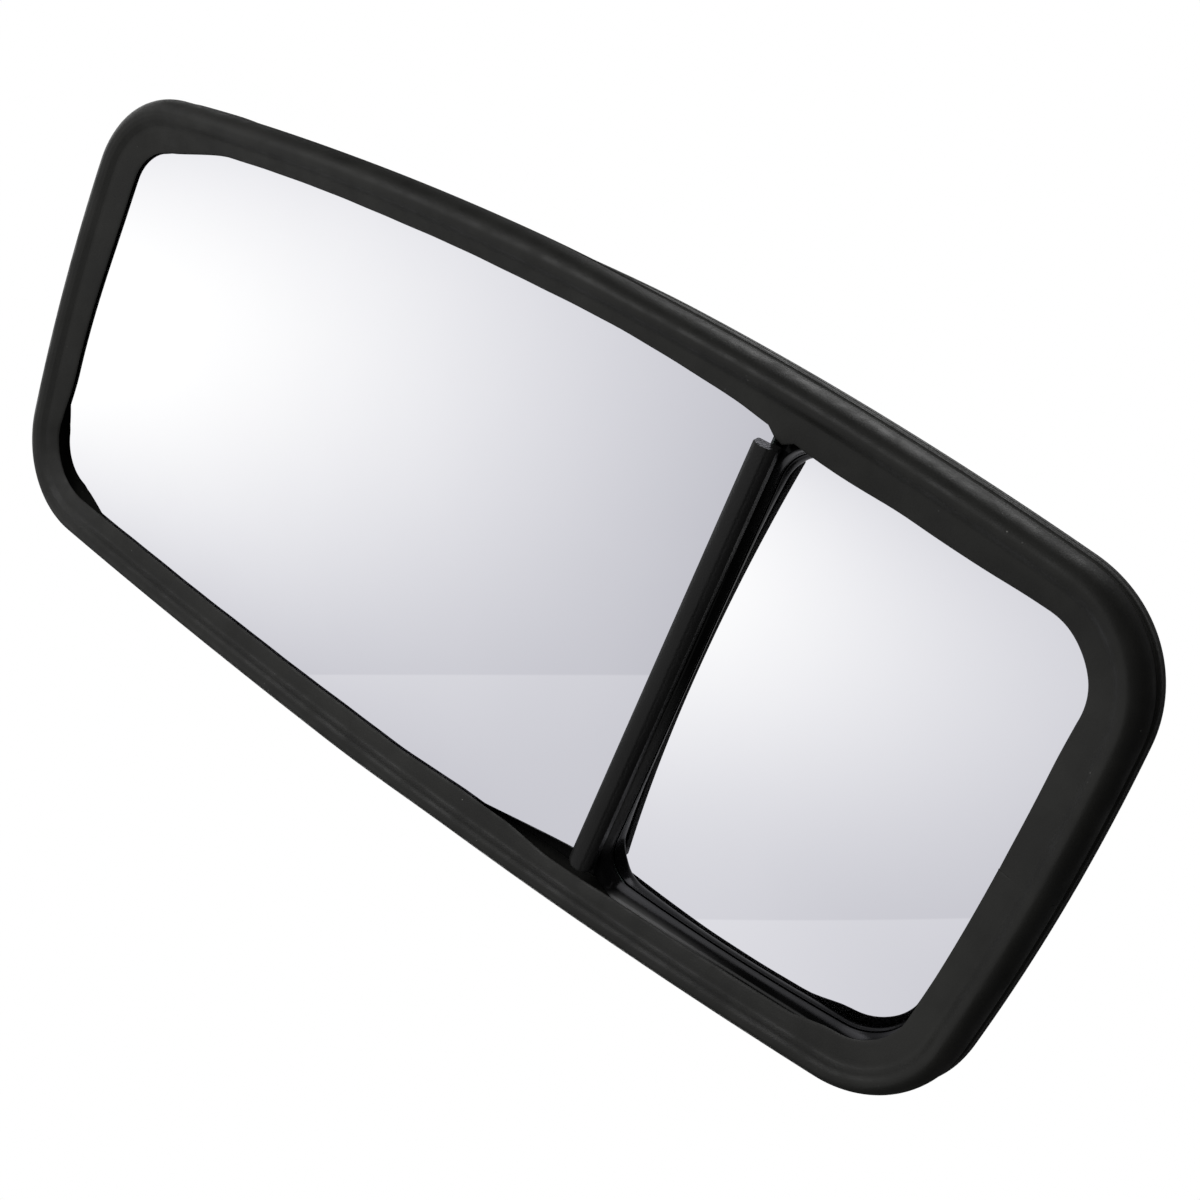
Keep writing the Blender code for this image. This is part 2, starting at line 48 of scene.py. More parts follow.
# ---- sizes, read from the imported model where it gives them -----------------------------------
gasket_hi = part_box("edge_gasket")[1]
LENGTH = 430.0
HALF_WIDTH = 94.8
TOP_RIGHT, TOP_LEFT = (16.8, 35.5), (6.3, 40.5)      # side drop, corner radius
LOW_LEFT, LOW_RIGHT = (12.6, 35.0), (18.6, 40.5)
WIDE_RIGHT = (18.6, 36.5)                             # what the frame's lower right is drawn from
END_BULGE = 6.9
FACE = gasket_hi.y / MM - 7.5                         # the face plane: the skirt ends 7.5 behind it
REAR = 46.0                                           # outside of the housing's back wall
WALL = 3.0
MAIN_INSET, MAIN_LOW = 12.4, -88.4
MAIN_RELIEF = 10.0                                    # most that its left corners give way
WIDE_INSET, WIDE_TOP, WIDE_RADIUS, WIDE_CENTRE = 14.6, -90.2, 600.0, -144.0
CROWN, WIDE_T, FLOOR = -0.8, 2.2, 7.9
GLASS_Y, GLASS_T = -2.1, 3.0
BALL_Y, BALL_R, SOCKET_R = -71.0, 14.0, 18.0
PLATE_Y, PLATE_T = -36.7, 6.0
GAP = 0.3


# ---- numeric helpers -------------------------------------------------------------------------
def blend(t):
    """0 below t = 0, 1 above t = 1, and a smooth S between them."""
    t = np.clip(t, 0.0, 1.0)
    return t * t * (3 - 2 * t)


def spline(points, steps):
    """Catmull-Rom curve through the points, ends included."""
    p = np.array(points, float)
    q = np.vstack((2 * p[0] - p[1], p, 2 * p[-1] - p[-2]))
    out = []
    for i in range(1, len(q) - 2):
        for k in range(steps):
            t = k / steps
            a, b, c, d = q[i - 1], q[i], q[i + 1], q[i + 2]
            out.append(0.5 * (2 * b + (c - a) * t + (2 * a - 5 * b + 4 * c - d) * t * t
                              + (3 * b - a - 3 * c + d) * t ** 3))
    out.append(p[-1])
    return [tuple(v) for v in out]


def arc(centre, radius, a0, a1, n):
    """Columns along an arc: x, z and the outward normal's x and z."""
    a = np.linspace(a0, a1, n + 1)
    return np.stack((centre[0] + radius * np.cos(a), centre[1] + radius * np.sin(a),
                     np.cos(a), np.sin(a)), 1)


def side_circle(drop):
    """Centre and radius of a long side that falls back by drop at its ends."""
    r = ((LENGTH / 2) ** 2 + drop ** 2) / (2 * drop)
    return (HALF_WIDTH - r, 0.0), r


END_R = (HALF_WIDTH ** 2 + END_BULGE ** 2) / (2 * END_BULGE)
END_C = (0.0, LENGTH / 2 - END_R)


def corner_arcs(drop, corner):
    """The side circle, the corner's centre and the two angles where the corner arc begins and ends."""
    c1, r1 = side_circle(drop)
    ra, rb = r1 - corner, END_R - corner
    dx, dz = END_C[0] - c1[0], END_C[1] - c1[1]
    d = math.hypot(dx, dz)
    a = (ra * ra - rb * rb + d * d) / (2 * d)
    h = math.sqrt(ra * ra - a * a)
    spots = [(c1[0] + (a * dx - s * h * dz) / d, c1[1] + (a * dz + s * h * dx) / d)
             for s in (1, -1)]
    c = max(spots, key=lambda p: p[0] + p[1])
    return (c1, r1, c, math.atan2(c[1] - c1[1], c[0] - c1[0]),
            math.atan2(c[1] - END_C[1], c[0] - END_C[0]))


def quarter(drop, corner, joint=()):
    """A quarter of the outline; joint adds columns at those distances from the middle."""
    c1, r1, c, a1, a2 = corner_arcs(drop, corner)
    side = arc(c1, r1, 0.0, a1, 56)
    turn = arc(c, corner, a1, a2, 34)[1:]
    last = np.linspace(a2, math.pi / 2, 19)[1:]
    last = np.sort(np.append(last, [math.acos(j / END_R) for j in joint]))
    end = np.stack((END_R * np.cos(last), END_C[1] + END_R * np.sin(last),
                    np.cos(last), np.sin(last)), 1)
    return np.vstack((side, turn, end))


def flip(p, sx, sz):
    """Mirrored columns, where sx or sz is -1."""
    return p * (sx, sz, sx, sz)


JOINT_X = -1.4           # butt joint of the gasket, at the bottom
OUTLINE = np.vstack((
    quarter(*TOP_RIGHT), flip(quarter(*TOP_LEFT), -1, 1)[::-1][1:],
    flip(quarter(*LOW_LEFT, joint=(1.0, 1.25, 1.32, 1.4, 1.48, 1.55, 1.8)), -1, -1)[1:],
    flip(quarter(*LOW_RIGHT), 1, -1)[::-1][1:-1]))


def wide_half(drop, corner, top_corner):
    """Half of the wide angle frame's outline, drawn with z pointing down."""
    c1, r1, c, a1, a2 = corner_arcs(drop, corner)
    ri = r1 - WIDE_INSET
    zc = -WIDE_TOP + top_corner
    xc = c1[0] + math.sqrt((ri - top_corner) ** 2 - zc ** 2)
    a0 = math.atan2(zc, xc - c1[0])
    x = np.linspace(0, xc, 25)[:-1]
    one = np.ones_like(x)
    top = np.stack((x, -WIDE_TOP * one, 0 * x, -one), 1)
    return np.vstack((top, arc((xc, zc), top_corner, -math.pi / 2, a0, 28),
                      arc(c1, ri, a0, a1, 36)[1:], arc(c, corner - WIDE_INSET, a1, a2, 28)[1:],
                      arc(END_C, END_R - WIDE_INSET, a2, math.pi / 2, 20)[1:]))


def wide_outline(top_corner):
    right = flip(wide_half(*WIDE_RIGHT, top_corner), 1, -1)[::-1]
    return np.vstack((right, flip(wide_half(*LOW_LEFT, top_corner), -1, -1)[1:-1]))


WIDE = wide_outline(13.0)
WIDE_OUT = wide_outline(4.0)


def ring(base, inset, y):
    """A ring of points at a fixed or per-point inset and depth."""
    x, z, nx, nz = base.T
    d = inset(x, z) if callable(inset) else inset
    yy = y(x, z) if callable(y) else y
    return np.stack((x - d * nx, FACE + yy + 0 * x, z - d * nz), 1)


# ---- mesh helpers ----------------------------------------------------------------------------
def skin(rings, closed=False):
    """Faces between the rings: closed joins the last to the first, and otherwise both are capped."""
    rows, n = len(rings), len(rings[0])
    faces = []
    for r in range(rows if closed else rows - 1):
        a, b = r * n, ((r + 1) % rows) * n
        for i in range(n):
            j = (i + 1) % n
            faces.append((a + i, a + j, b + j, b + i))
    if not closed:
        faces += [tuple(range(n))[::-1], tuple(range((rows - 1) * n, rows * n))]
    return faces


def solid_mesh(name, points, faces, weld=True):
    """A mesh with its faces pointing out, from points in millimetres."""
    mesh = bpy.data.meshes.new(name)
    mesh.from_pydata((np.asarray(points, float) * MM).tolist(), [], faces)
    bm = bmesh.new()
    bm.from_mesh(mesh)
    if weld:
        bmesh.ops.remove_doubles(bm, verts=bm.verts, dist=1e-7)
    bmesh.ops.recalc_face_normals(bm, faces=bm.faces)
    bm.to_mesh(mesh)
    bm.free()
    return mesh


def piece(name, points, faces, mats, body, nodes, smooth=35.0, pick=None):
    """A shaded piece that rides a body; pick gives each face's material from its centre and normal."""
    mesh = solid_mesh(name, points, faces)
    for m in mats:
        mesh.materials.append(m)
    if pick:
        for p in mesh.polygons:
            p.material_index = pick(p.center / MM, p.normal)
    mesh.shade_smooth()
    mesh.set_sharp_from_angle(angle=math.radians(smooth))
    ob = bpy.data.objects.new(name, mesh)
    bpy.context.scene.collection.objects.link(ob)
    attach(ob, body)
    if nodes:
        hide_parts(*nodes)
    return ob


def loft(name, rings, mats, body, nodes, closed=False, smooth=35.0, pick=None):
    """A piece through rings of points."""
    return piece(name, np.vstack(rings), skin(rings, closed), mats, body, nodes, smooth, pick)


def hexagon(flats, a):
    """Distance from the middle to a hexagon's side at the angles a; flats is half its width."""
    return flats / np.cos((a + math.pi / 6) % (math.pi / 3) - math.pi / 6)


def lathe(section, n=96, x=0.0, z=0.0, hexes=()):
    """Rings about an axis along Y; steps in hexes are six sided, r being half across flats."""
    a = np.linspace(0, 2 * math.pi, n, endpoint=False)
    rings = []
    for k, (r, y) in enumerate(section):
        rr = hexagon(r, a) if k in hexes else r + 0 * a
        rings.append(np.stack((x + rr * np.cos(a), y + 0 * a, z + rr * np.sin(a)), 1))
    return rings


def rounded(points, radius, steps=4):
    """The polyline with each inner corner rounded by a short arc."""
    p = [np.array(q, float) for q in points]
    out = [tuple(p[0])]
    for a, b, c in zip(p, p[1:], p[2:]):
        u, v = a - b, c - b
        lu, lv = np.linalg.norm(u), np.linalg.norm(v)
        if lu < 1e-6 or lv < 1e-6:
            continue
        cut = min(radius, lu * 0.45, lv * 0.45)
        s, e = b + u / lu * cut, b + v / lv * cut
        for k in range(steps + 1):
            t = k / steps
            out.append(tuple((1 - t) ** 2 * s + 2 * t * (1 - t) * b + t * t * e))
    out.append(tuple(p[-1]))
    return out


# ---- materials -------------------------------------------------------------------------------
class Shade:
    """A material being built; each call adds a node and returns its output."""

    def __init__(self, name, rough=0.5, metal=0.0, specular=0.5):
        self.mat = bpy.data.materials.new(name)
        self.mat.use_nodes = True
        self.tree = self.mat.node_tree
        self.bsdf = self.tree.nodes["Principled BSDF"]
        self.bsdf.inputs["Roughness"].default_value = rough
        self.bsdf.inputs["Metallic"].default_value = metal
        self.bsdf.inputs["Specular IOR Level"].default_value = specular
        self.where = self.tree.nodes.new("ShaderNodeTexCoord").outputs["Object"]

    def put(self, socket, value):
        if hasattr(value, "links"):
            self.tree.links.new(value, socket)
        else:
            socket.default_value = value

    def noise(self, scale, detail=3.0, rough=0.55, vector=None):
        n = self.tree.nodes.new("ShaderNodeTexNoise")
        self.put(n.inputs["Vector"], vector or self.where)
        n.inputs["Scale"].default_value = scale
        n.inputs["Detail"].default_value = detail
        n.inputs["Roughness"].default_value = rough
        return n.outputs["Fac"]

    def cells(self, scale, feature="F1"):
        n = self.tree.nodes.new("ShaderNodeTexVoronoi")
        n.feature = feature
        self.put(n.inputs["Vector"], self.where)
        n.inputs["Scale"].default_value = scale
        return n.outputs["Distance"]

    def stretch(self, sx, sy, sz):
        n = self.tree.nodes.new("ShaderNodeMapping")
        self.put(n.inputs["Vector"], self.where)
        n.inputs["Scale"].default_value = (sx, sy, sz)
        return n.outputs["Vector"]

    def span(self, value, a, b, c=0.0, d=1.0):
        """A smooth step from c where value is a to d where it is b."""
        n = self.tree.nodes.new("ShaderNodeMapRange")
        n.interpolation_type = "SMOOTHSTEP"
        self.put(n.inputs["Value"], value)
        for name, v in zip(("From Min", "From Max", "To Min", "To Max"), (a, b, c, d)):
            n.inputs[name].default_value = v
        return n.outputs["Result"]

    def math(self, op, a, b=0.0):
        n = self.tree.nodes.new("ShaderNodeMath")
        n.operation = op
        self.put(n.inputs[0], a)
        self.put(n.inputs[1], b)
        return n.outputs[0]

    def axes(self):
        n = self.tree.nodes.new("ShaderNodeSeparateXYZ")
        self.put(n.inputs[0], self.where)
        return n.outputs

    def mix(self, fac, a, b):
        n = self.tree.nodes.new("ShaderNodeMix")
        n.data_type = "RGBA"
        self.put(n.inputs[0], fac)
        for socket, v in ((n.inputs[6], a), (n.inputs[7], b)):
            self.put(socket, v if hasattr(v, "links") else (*v, 1.0))
        return n.outputs[2]

    def bump(self, height, strength, distance, under=None):
        n = self.tree.nodes.new("ShaderNodeBump")
        self.put(n.inputs["Height"], height)
        n.inputs["Strength"].default_value = strength
        n.inputs["Distance"].default_value = distance
        if under:
            self.put(n.inputs["Normal"], under)
        return n.outputs["Normal"]

    def done(self, colour, rough=None, normal=None):
        self.put(self.bsdf.inputs["Base Color"], colour)
        for name, v in (("Roughness", rough), ("Normal", normal)):
            if v is not None:
                self.put(self.bsdf.inputs[name], v)
        return self.mat


def make_rubber(name, dark, light, level):
    s = Shade(name, specular=level)
    patches = s.span(s.noise(55, 4), 0.35, 0.7)
    streaks = s.noise(9, 3, 0.6, s.stretch(1, 6, 1))
    tone = s.mix(patches, dark, light)
    tone = s.mix(s.span(streaks, 0.55, 0.75, 0, 0.35), tone, tuple(c * 1.6 for c in light))
    speck = s.math("MULTIPLY", s.span(s.cells(420), 0.11, 0.07),
                   s.span(s.noise(90, 2), 0.62, 0.68))
    tone = s.mix(s.math("MULTIPLY", speck, 0.6), tone, (0.16, 0.16, 0.15))
    fine = s.bump(s.noise(1900, 2, 0.6), 0.16, 0.0004)
    wavy = s.bump(s.noise(38, 2, 0.5), 0.12, 0.004, fine)
    return s.done(tone, s.span(s.noise(130, 4), 0.3, 0.75, 0.44, 0.62), wavy)


def make_grained(name, dark, light, level, grain, depth, rough):
    """Moulded plastic or powder coat with a fine pebbled grain."""
    s = Shade(name, specular=level)
    tone = s.mix(s.span(s.noise(22, 4), 0.35, 0.7), dark, light)
    scuff = s.span(s.noise(30, 5, 0.7, s.stretch(3, 3, 0.35)), 0.64, 0.78, 0, 0.30)
    tone = s.mix(scuff, tone, tuple(c * 2.6 + 0.01 for c in light))
    pits = s.bump(s.cells(grain, "SMOOTH_F1"), 0.35, depth)
    fine = s.bump(s.noise(grain * 2.2, 2, 0.6), 0.18, depth * 0.6, pits)
    return s.done(tone, s.span(s.noise(75, 4), 0.3, 0.75, rough - 0.07, rough + 0.09), fine)


def make_gloss(name):
    """Gloss black, with a painted highlight along the ridge at the lower left and beside the divider."""
    s = Shade(name, specular=0.05)
    tone = s.mix(s.span(s.noise(30, 3), 0.4, 0.7), (0.0016, 0.0016, 0.0017), (0.003, 0.003, 0.003))
    x, y, z = s.axes()
    # how far outside the crest of the left side's ridge, which runs along the head's own side arc
    crest = (HALF_WIDTH - WIDE_INSET - 0.4) * MM
    across = 2 * side_circle(LOW_LEFT[0])[1] * MM
    out = s.math("SUBTRACT", s.math("DIVIDE", s.math("MULTIPLY", z, z), across),
                 s.math("ADD", x, crest))
    on_ridge = s.span(out, -0.0016, 0.0010)
    above_corner, below_bar = s.span(z, -0.152, -0.112), s.span(z, -0.0985, -0.1045)
    left = s.math("MULTIPLY", on_ridge, s.math("MULTIPLY", above_corner, below_bar))
    beside_bar = s.span(z, -0.0945, -0.0920)
    left_half, off_corner = s.span(x, 0.005, -0.050), s.span(x, -0.069, -0.061)
    top = s.math("MULTIPLY", beside_bar, s.math("MULTIPLY", left_half, off_corner))
    # painted highlight: the ridge's gloss streak, laid into the colour as a lighter tint
    painted_highlight = s.math("MULTIPLY", s.math("MAXIMUM", left, s.math("MULTIPLY", top, 0.7)),
                  s.span(s.noise(35, 3), 0.2, 0.6, 0.8, 1.0))
    tone = s.mix(painted_highlight, tone, (0.080, 0.080, 0.080))
    lint = s.math("MULTIPLY", s.span(s.cells(500), 0.10, 0.06),
                  s.span(s.noise(120, 2), 0.64, 0.70))
    tone = s.mix(s.math("MULTIPLY", lint, 0.3), tone, (0.05, 0.05, 0.05))
    peel = s.bump(s.noise(420, 2, 0.5), 0.03, 0.0004)
    return s.done(tone, s.span(s.noise(60, 4), 0.35, 0.75, 0.16, 0.26), peel)


def make_mirror(name, rise, fall, lean, line):
    """Silvered glass with a painted reflection: its tint drifts over its face, with places in metres.

    rise: two heights and the tints at them, a painted reflection that is lighter higher up. fall: how fast
    painted shade darkens it towards both sides, growing from a foot. lean: how much lighter the right is
    than the left, the width of that swing, the height where it is strongest and how far it reaches. line:
    angle and place of a slanting line with a slightly lighter tint to its lower left, a painted
    reflection.
    """
    s = Shade(name, metal=1.0)
    x, y, z = s.axes()
    # painted reflection: the reflection's brightness is laid into the colour, lighter higher up
    painted_reflection = s.math("ADD", s.span(z, *rise), s.span(s.noise(14, 4, 0.5), 0.35, 0.7, -0.005, 0.005))
    strength, foot = fall
    # painted shade: darker towards both sides, more so higher up
    dark = s.math("MULTIPLY", s.math("MULTIPLY", x, x), s.math("SUBTRACT", z, foot))
    painted_reflection = s.math("SUBTRACT", painted_reflection, s.math("MULTIPLY", dark, strength))
    # painted reflection: lighter on the right than on the left
    most, width, middle, reach = lean
    away = s.math("DIVIDE", s.math("SUBTRACT", z, middle), reach)
    swing = s.math("SINE", s.math("MULTIPLY", x, math.pi / width))
    here = s.math("SUBTRACT", 1.0, s.math("MULTIPLY", away, away))
    painted_reflection = s.math("ADD", painted_reflection, s.math("MULTIPLY", s.math("MULTIPLY", swing, most), here))
    angle, place = math.radians(line[0]), line[1]
    across = s.math("ADD", s.math("MULTIPLY", x, math.cos(angle)),
                    s.math("MULTIPLY", z, math.sin(angle)))
    # painted reflection: a slanting edge of reflected light, a little lighter below and to its left
    painted_reflection = s.math("ADD", painted_reflection, s.span(across, place - 0.0004, place + 0.0004, 0.065, 0.0))
    painted_reflection = s.math("MINIMUM", s.math("MAXIMUM", painted_reflection, 0.3), 0.99)
    tone = s.tree.nodes.new("ShaderNodeCombineColor")
    s.put(tone.inputs[0], painted_reflection)
    s.put(tone.inputs[1], painted_reflection)
    blue = s.math("MULTIPLY", painted_reflection, s.math("SUBTRACT", 1.2, s.math("MULTIPLY", painted_reflection, 0.2)))
    s.put(tone.inputs[2], blue)
    smear = s.span(s.noise(60, 5, 0.7), 0.45, 0.8, 0.004, 0.022)
    return s.done(tone.outputs[0], smear)


def make_zinc(name, tone=(0.56, 0.57, 0.58), warm=(0.60, 0.57, 0.50)):
    s = Shade(name, metal=1.0)
    colour = s.mix(s.span(s.noise(70, 4), 0.45, 0.75), tone, warm)
    stain = s.span(s.noise(240, 4, 0.7), 0.62, 0.78, 0, 0.5)
    colour = s.mix(stain, colour, tuple(c * 0.6 for c in tone))
    fine = s.bump(s.noise(1500, 3, 0.6, s.stretch(1, 0.2, 1)), 0.10, 0.0003)
    return s.done(colour, s.span(s.noise(160, 4), 0.3, 0.75, 0.26, 0.44), fine)


def make_plain(name, dark, light, level, rough, scale, depth):
    """Smooth moulded parts: nylon, foam, liner rubber."""
    s = Shade(name, specular=level)
    tone = s.mix(s.span(s.noise(scale * 0.1, 4), 0.35, 0.7), dark, light)
    bumps = s.bump(s.noise(scale, 3, 0.6), 0.3, depth)
    return s.done(tone, s.span(s.noise(scale * 0.3, 3), 0.3, 0.7, rough - 0.06, rough + 0.08), bumps)


RUBBER = make_rubber("gasket_rubber_look", (0.0092, 0.0092, 0.0085), (0.0122, 0.0122, 0.0111), 0.15)
HOUSING = make_grained("housing_look", (0.018, 0.018, 0.0175), (0.025, 0.025, 0.024), 0.4, 1100,
                       0.00014, 0.46)
BLACK = make_grained("black_plastic_look", (0.0045, 0.0045, 0.0045), (0.0065, 0.0065, 0.0065), 0.12, 1500,
                     0.0002, 0.40)
GLOSS = make_gloss("gloss_black_look")
# both glasses carry a painted reflection in their tint
MIRROR = make_mirror("main_glass_look", rise=(-0.21, 0.21, 0.39, 1.025), fall=(156.0, MAIN_LOW * MM),
                     lean=(0.10, 0.20, 0.035, 0.128), line=(30.0, -0.0484))
WIDE_MIRROR = make_mirror("wide_glass_look", rise=(-0.264, -0.024, 0.50, 0.995),
                          fall=(366.0, -0.1965), lean=(0.09, 0.085, -0.08, 0.17),
                          line=(36.0, -0.1308))
GLASS_EDGE = make_plain("glass_edge_look", (0.10, 0.13, 0.12), (0.16, 0.20, 0.18), 0.6, 0.25, 900, 0.0001)
GLASS_BACK = make_plain("glass_back_look", (0.05, 0.045, 0.05), (0.08, 0.07, 0.075), 0.4, 0.5, 700, 0.0001)
ZINC = make_zinc("zinc_look")
BLACK_STEEL = make_grained("black_steel_look", (0.012, 0.012, 0.0125), (0.018, 0.018, 0.019), 0.5,
                           700, 0.0003, 0.34)
CASTING = make_grained("casting_look", (0.013, 0.013, 0.0135), (0.021, 0.021, 0.022), 0.5, 430,
                       0.0007, 0.42)
NYLON = make_plain("nylon_look", (0.60, 0.57, 0.50), (0.70, 0.68, 0.61), 0.5, 0.38, 500, 0.0002)
FOAM = make_plain("foam_look", (0.035, 0.035, 0.038), (0.06, 0.06, 0.064), 0.2, 0.9, 1200, 0.0008)
LINER = make_plain("liner_look", (0.012, 0.012, 0.012), (0.02, 0.02, 0.02), 0.35, 0.62, 1400, 0.0003)


# ---- edge gasket -----------------------------------------------------------------------------
def low_zone(z):
    return blend((18.0 - z) / 60.0)


def lip_reach(x, z):
    right = blend((x + 55.0) / 70.0)
    down = blend((-25.0 - z) / 85.0)
    end = blend((-166.0 - z) / 15.0) * (1 - right)
    corner = blend((z - 120.0) / 60.0) * right
    sunk = blend((-84.0 - z) / 30.0)
    wide = 0.6 * blend((-74.0 - z) / 14.0) * (1 - blend((-112.0 - z) / 25.0))
    tab = 2.4 * blend((-89.0 - z) / 1.0) * (1 - blend((-92.6 - z) / 3.0))
    waver = 0.06 * np.sin(z * 0.11 + x * 0.07) + 0.03 * np.sin(z * 0.31 + 1.3)
    low_corner = blend((x - 30.0) / 34.0) * blend((-145.0 - z) / 45.0)
    left = (blend((-5.0 - z) / 35.0) - 2.0 * blend((-56.0 - z) / 24.0)
            + 0.6 * blend((-85.0 - z) / 30.0)) * (1 - right)
    top = (2.6 * blend((x + 62.0) / 30.0) + 2.2 * blend((x + 30.0) / 70.0)) * blend((z - 150.0) / 40.0)
    return (15.3 + right * (2.6 * down + 1.4 * sunk + wide + tab - 1.3) + left + 2.4 * end
            + 0.9 * corner - 1.6 * low_corner + top + waver)


def lip_depth(x, z):
    return -3.2 + 1.4 * blend((x + 55.0) / 70.0) * blend((-84.0 - z) / 30.0)


def wall_inset(x, z):
    upper = blend((z + 100.0) / 25.0)
    away = np.maximum(blend(-x / 40.0), blend((z - 150.0) / 30.0))
    return 12.9 + upper * (0.3 + 1.3 * away)


def slack(x, z):
    """Where the gasket stands a little away from the housing, low on the right side."""
    return np.exp(-((x - 84.0) / 12.0) ** 2) * np.exp(-((z + 118.0) / 11.0) ** 2)


def gasket_rings():
    bead = spline([(1.5, 7.5), (0.75, 7.4), (0.3, 6.95), (0.2, 6.4), (0.35, 5.85), (0.75, 5.5)], 3)
    groove = [(1.5, 5.32), (1.75, 5.15), (1.5, 4.98)]
    lip_edge = spline([(0.62, 4.82), (0.22, 4.6), (0.1, 4.2), (0.12, 3.7)], 3)
    roll = spline([(0.12, 3.7), (0.02, 2.6), (0.0, 1.2), (0.12, -0.8), (0.7, -3.2), (1.9, -5.4),
                   (3.6, -6.9), (5.4, -7.6), (7.0, -7.45), (8.2, -6.75), (9.1, -5.75),
                   (9.9, -5.0), (10.7, -4.65)], 4)[1:]
    rings = []
    top = blend((OUTLINE[:, 1] - 150.0) / 30.0)
    for d, y in bead + groove + lip_edge + roll:
        skirt = y > 5.2
        shrink = (0.45 if skirt else 1.2) * (1 - float(blend(d / 9.0)))
        deep = 1.3 if (d, y) in groove else 0.0
        # over the top end the roll falls away more gently
        ease = (np.interp(d, (6.0, 7.2, 8.6, 9.6, 10.7), (-7.6, -7.5, -6.95, -6.3, -5.6)) - y
                if d > 6.0 and y < 0 else 0.0)
        rings.append(ring(
            OUTLINE, lambda x, z, d=d, s=shrink, g=deep: d + s * low_zone(z) + g * slack(x, z),
            lambda x, z, y=y, e=ease: y + e * top))
    start = -4.65 - 0.95 * top
    for part in np.linspace(0.14, 0.94, 7):
        rings.append(ring(OUTLINE,
                          lambda x, z, p=part: 10.7 + p * (lip_reach(x, z) - 10.7),
                          lambda x, z, p=part: start + p ** 1.15 * (lip_depth(x, z) - start)))
    for back, down in ((0.12, 0.05), (0.0, 0.16), (0.02, 0.3), (0.12, 0.45)):
        rings.append(ring(OUTLINE, lambda x, z, b=back: lip_reach(x, z) - b,
                          lambda x, z, v=down: lip_depth(x, z) + v))
    rings.append(ring(OUTLINE, lambda x, z: np.minimum(wall_inset(x, z), lip_reach(x, z) - 0.6),
                      GLASS_Y - GAP))
    rings.append(ring(OUTLINE, 12.0, GLASS_Y - GAP))
    for d, y in [(12.0, 7.5), (6.0, 7.5), (6.0, 1.6), (2.9, 1.6), (2.9, 7.5)]:
        rings.append(ring(OUTLINE, d, y))
    # butt joint: a fine cut across the gasket, one end standing a little proud
    x, z = OUTLINE[:, 0], OUTLINE[:, 1]
    low = z < -150
    notch = np.where(low, np.exp(-((x - JOINT_X) / 0.09) ** 2), 0.0)
    proud = np.where(low, np.exp(-(np.abs(x - JOINT_X) / 2.2)) * (x > JOINT_X), 0.0)
    out = []
    for k, r in enumerate(rings):
        side = blend((r[:, 1] - FACE + 4.5) / 3.0)
        dep = (0.5 * notch - 0.16 * proud) * (0.08 + 0.92 * side)
        if k < len(rings) - 8:
            r = r + np.stack((-dep * OUTLINE[:, 2] * 0.6, dep * 0.8, -dep * OUTLINE[:, 3] * 0.6), 1)
        out.append(r)
    return out


loft("gasket", gasket_rings(), [RUBBER], "head", ["edge_gasket"], closed=True,
     smooth=48)


# ---- rear housing ----------------------------------------------------------------------------
def flange_edge(x, z):
    corner = blend((z - 135.0) / 30.0) * blend((np.abs(x) - 60.0) / 15.0)
    return 1.0 - 0.9 * low_zone(z) - 1.3 * corner


def housing_rings():
    """From the rim's front edge round the outside to the middle of the back, then the inside."""
    rings = []
    for d, y in [(3.2, 1.9), (3.2, 7.8)]:
        rings.append(ring(OUTLINE, d, y))
    # the rim, with three fine ribs moulded along it
    rim = [(0.7, 7.8), (0.35, 7.85), (0.12, 8.0), (0.0, 8.25)]
    for centre in (8.65, 9.35, 10.05):
        rim += [(0.0, centre - 0.28), (0.0, centre - 0.16), (0.22, centre - 0.05),
                (0.22, centre + 0.05), (0.0, centre + 0.16)]
    rim += [(0.0, 10.4), (0.08, 10.65), (0.3, 10.85), (0.8, 11.0), (1.5, 11.1), (2.2, 11.35)]
    for d, y in rim:
        rings.append(ring(OUTLINE, lambda x, z, d=d: np.minimum(flange_edge(x, z) + d, 2.7), y))
    side = spline([(2.7, 11.9), (3.4, 14), (5.0, 22), (8.2, 31.6), (14, 39.2), (21.5, 43.9),
                   (30, 46)], 6)
    rings += [ring(OUTLINE, d, y) for d, y in side]
    # a low stiffening bead, then the flat back drawn in to the socket's hole
    rim_back = ring(OUTLINE, 30.0, 46.0)

    def drawn_in(k, y):
        return rim_back * (1 - k / 64.8, 0, 1 - k / 185.0) + (0, FACE + y, 0)

    rings += [drawn_in(k, y) for k, y in (
        (1.5, 46.0), (3.0, 46.0), (3.7, 46.15), (4.4, 46.5), (5.2, 46.7), (6.0, 46.7),
        (6.8, 46.5), (7.5, 46.15), (8.2, 46.0), (10.0, 46.0))]
    inner = drawn_in(12.0, 46.0)
    ang = np.arctan2(inner[:, 2], inner[:, 0])
    hub = np.stack((17.4 * np.cos(ang), 0 * ang + FACE + REAR, 17.4 * np.sin(ang)), 1)
    rings += [inner + (hub - inner) * t for t in (0, 0.25, 0.5, 0.75, 0.94, 1.0)]
    hub_in = hub - (0, WALL, 0)
    rings.append(hub_in)
    back = ring(OUTLINE, 28.5, 43)
    rings.append(back + (hub_in - back) * 0.5)
    rings += [ring(OUTLINE, d, y) for d, y in
              [(28.5, 43), (22.6, 41.0), (15.8, 36.8), (10.6, 29.8), (7.6, 21), (5.9, 12),
               (5.7, 1.9)]]
    return rings


loft("housing_shell", housing_rings(), [HOUSING], "head", ["rear_housing"],
     closed=True, smooth=40)


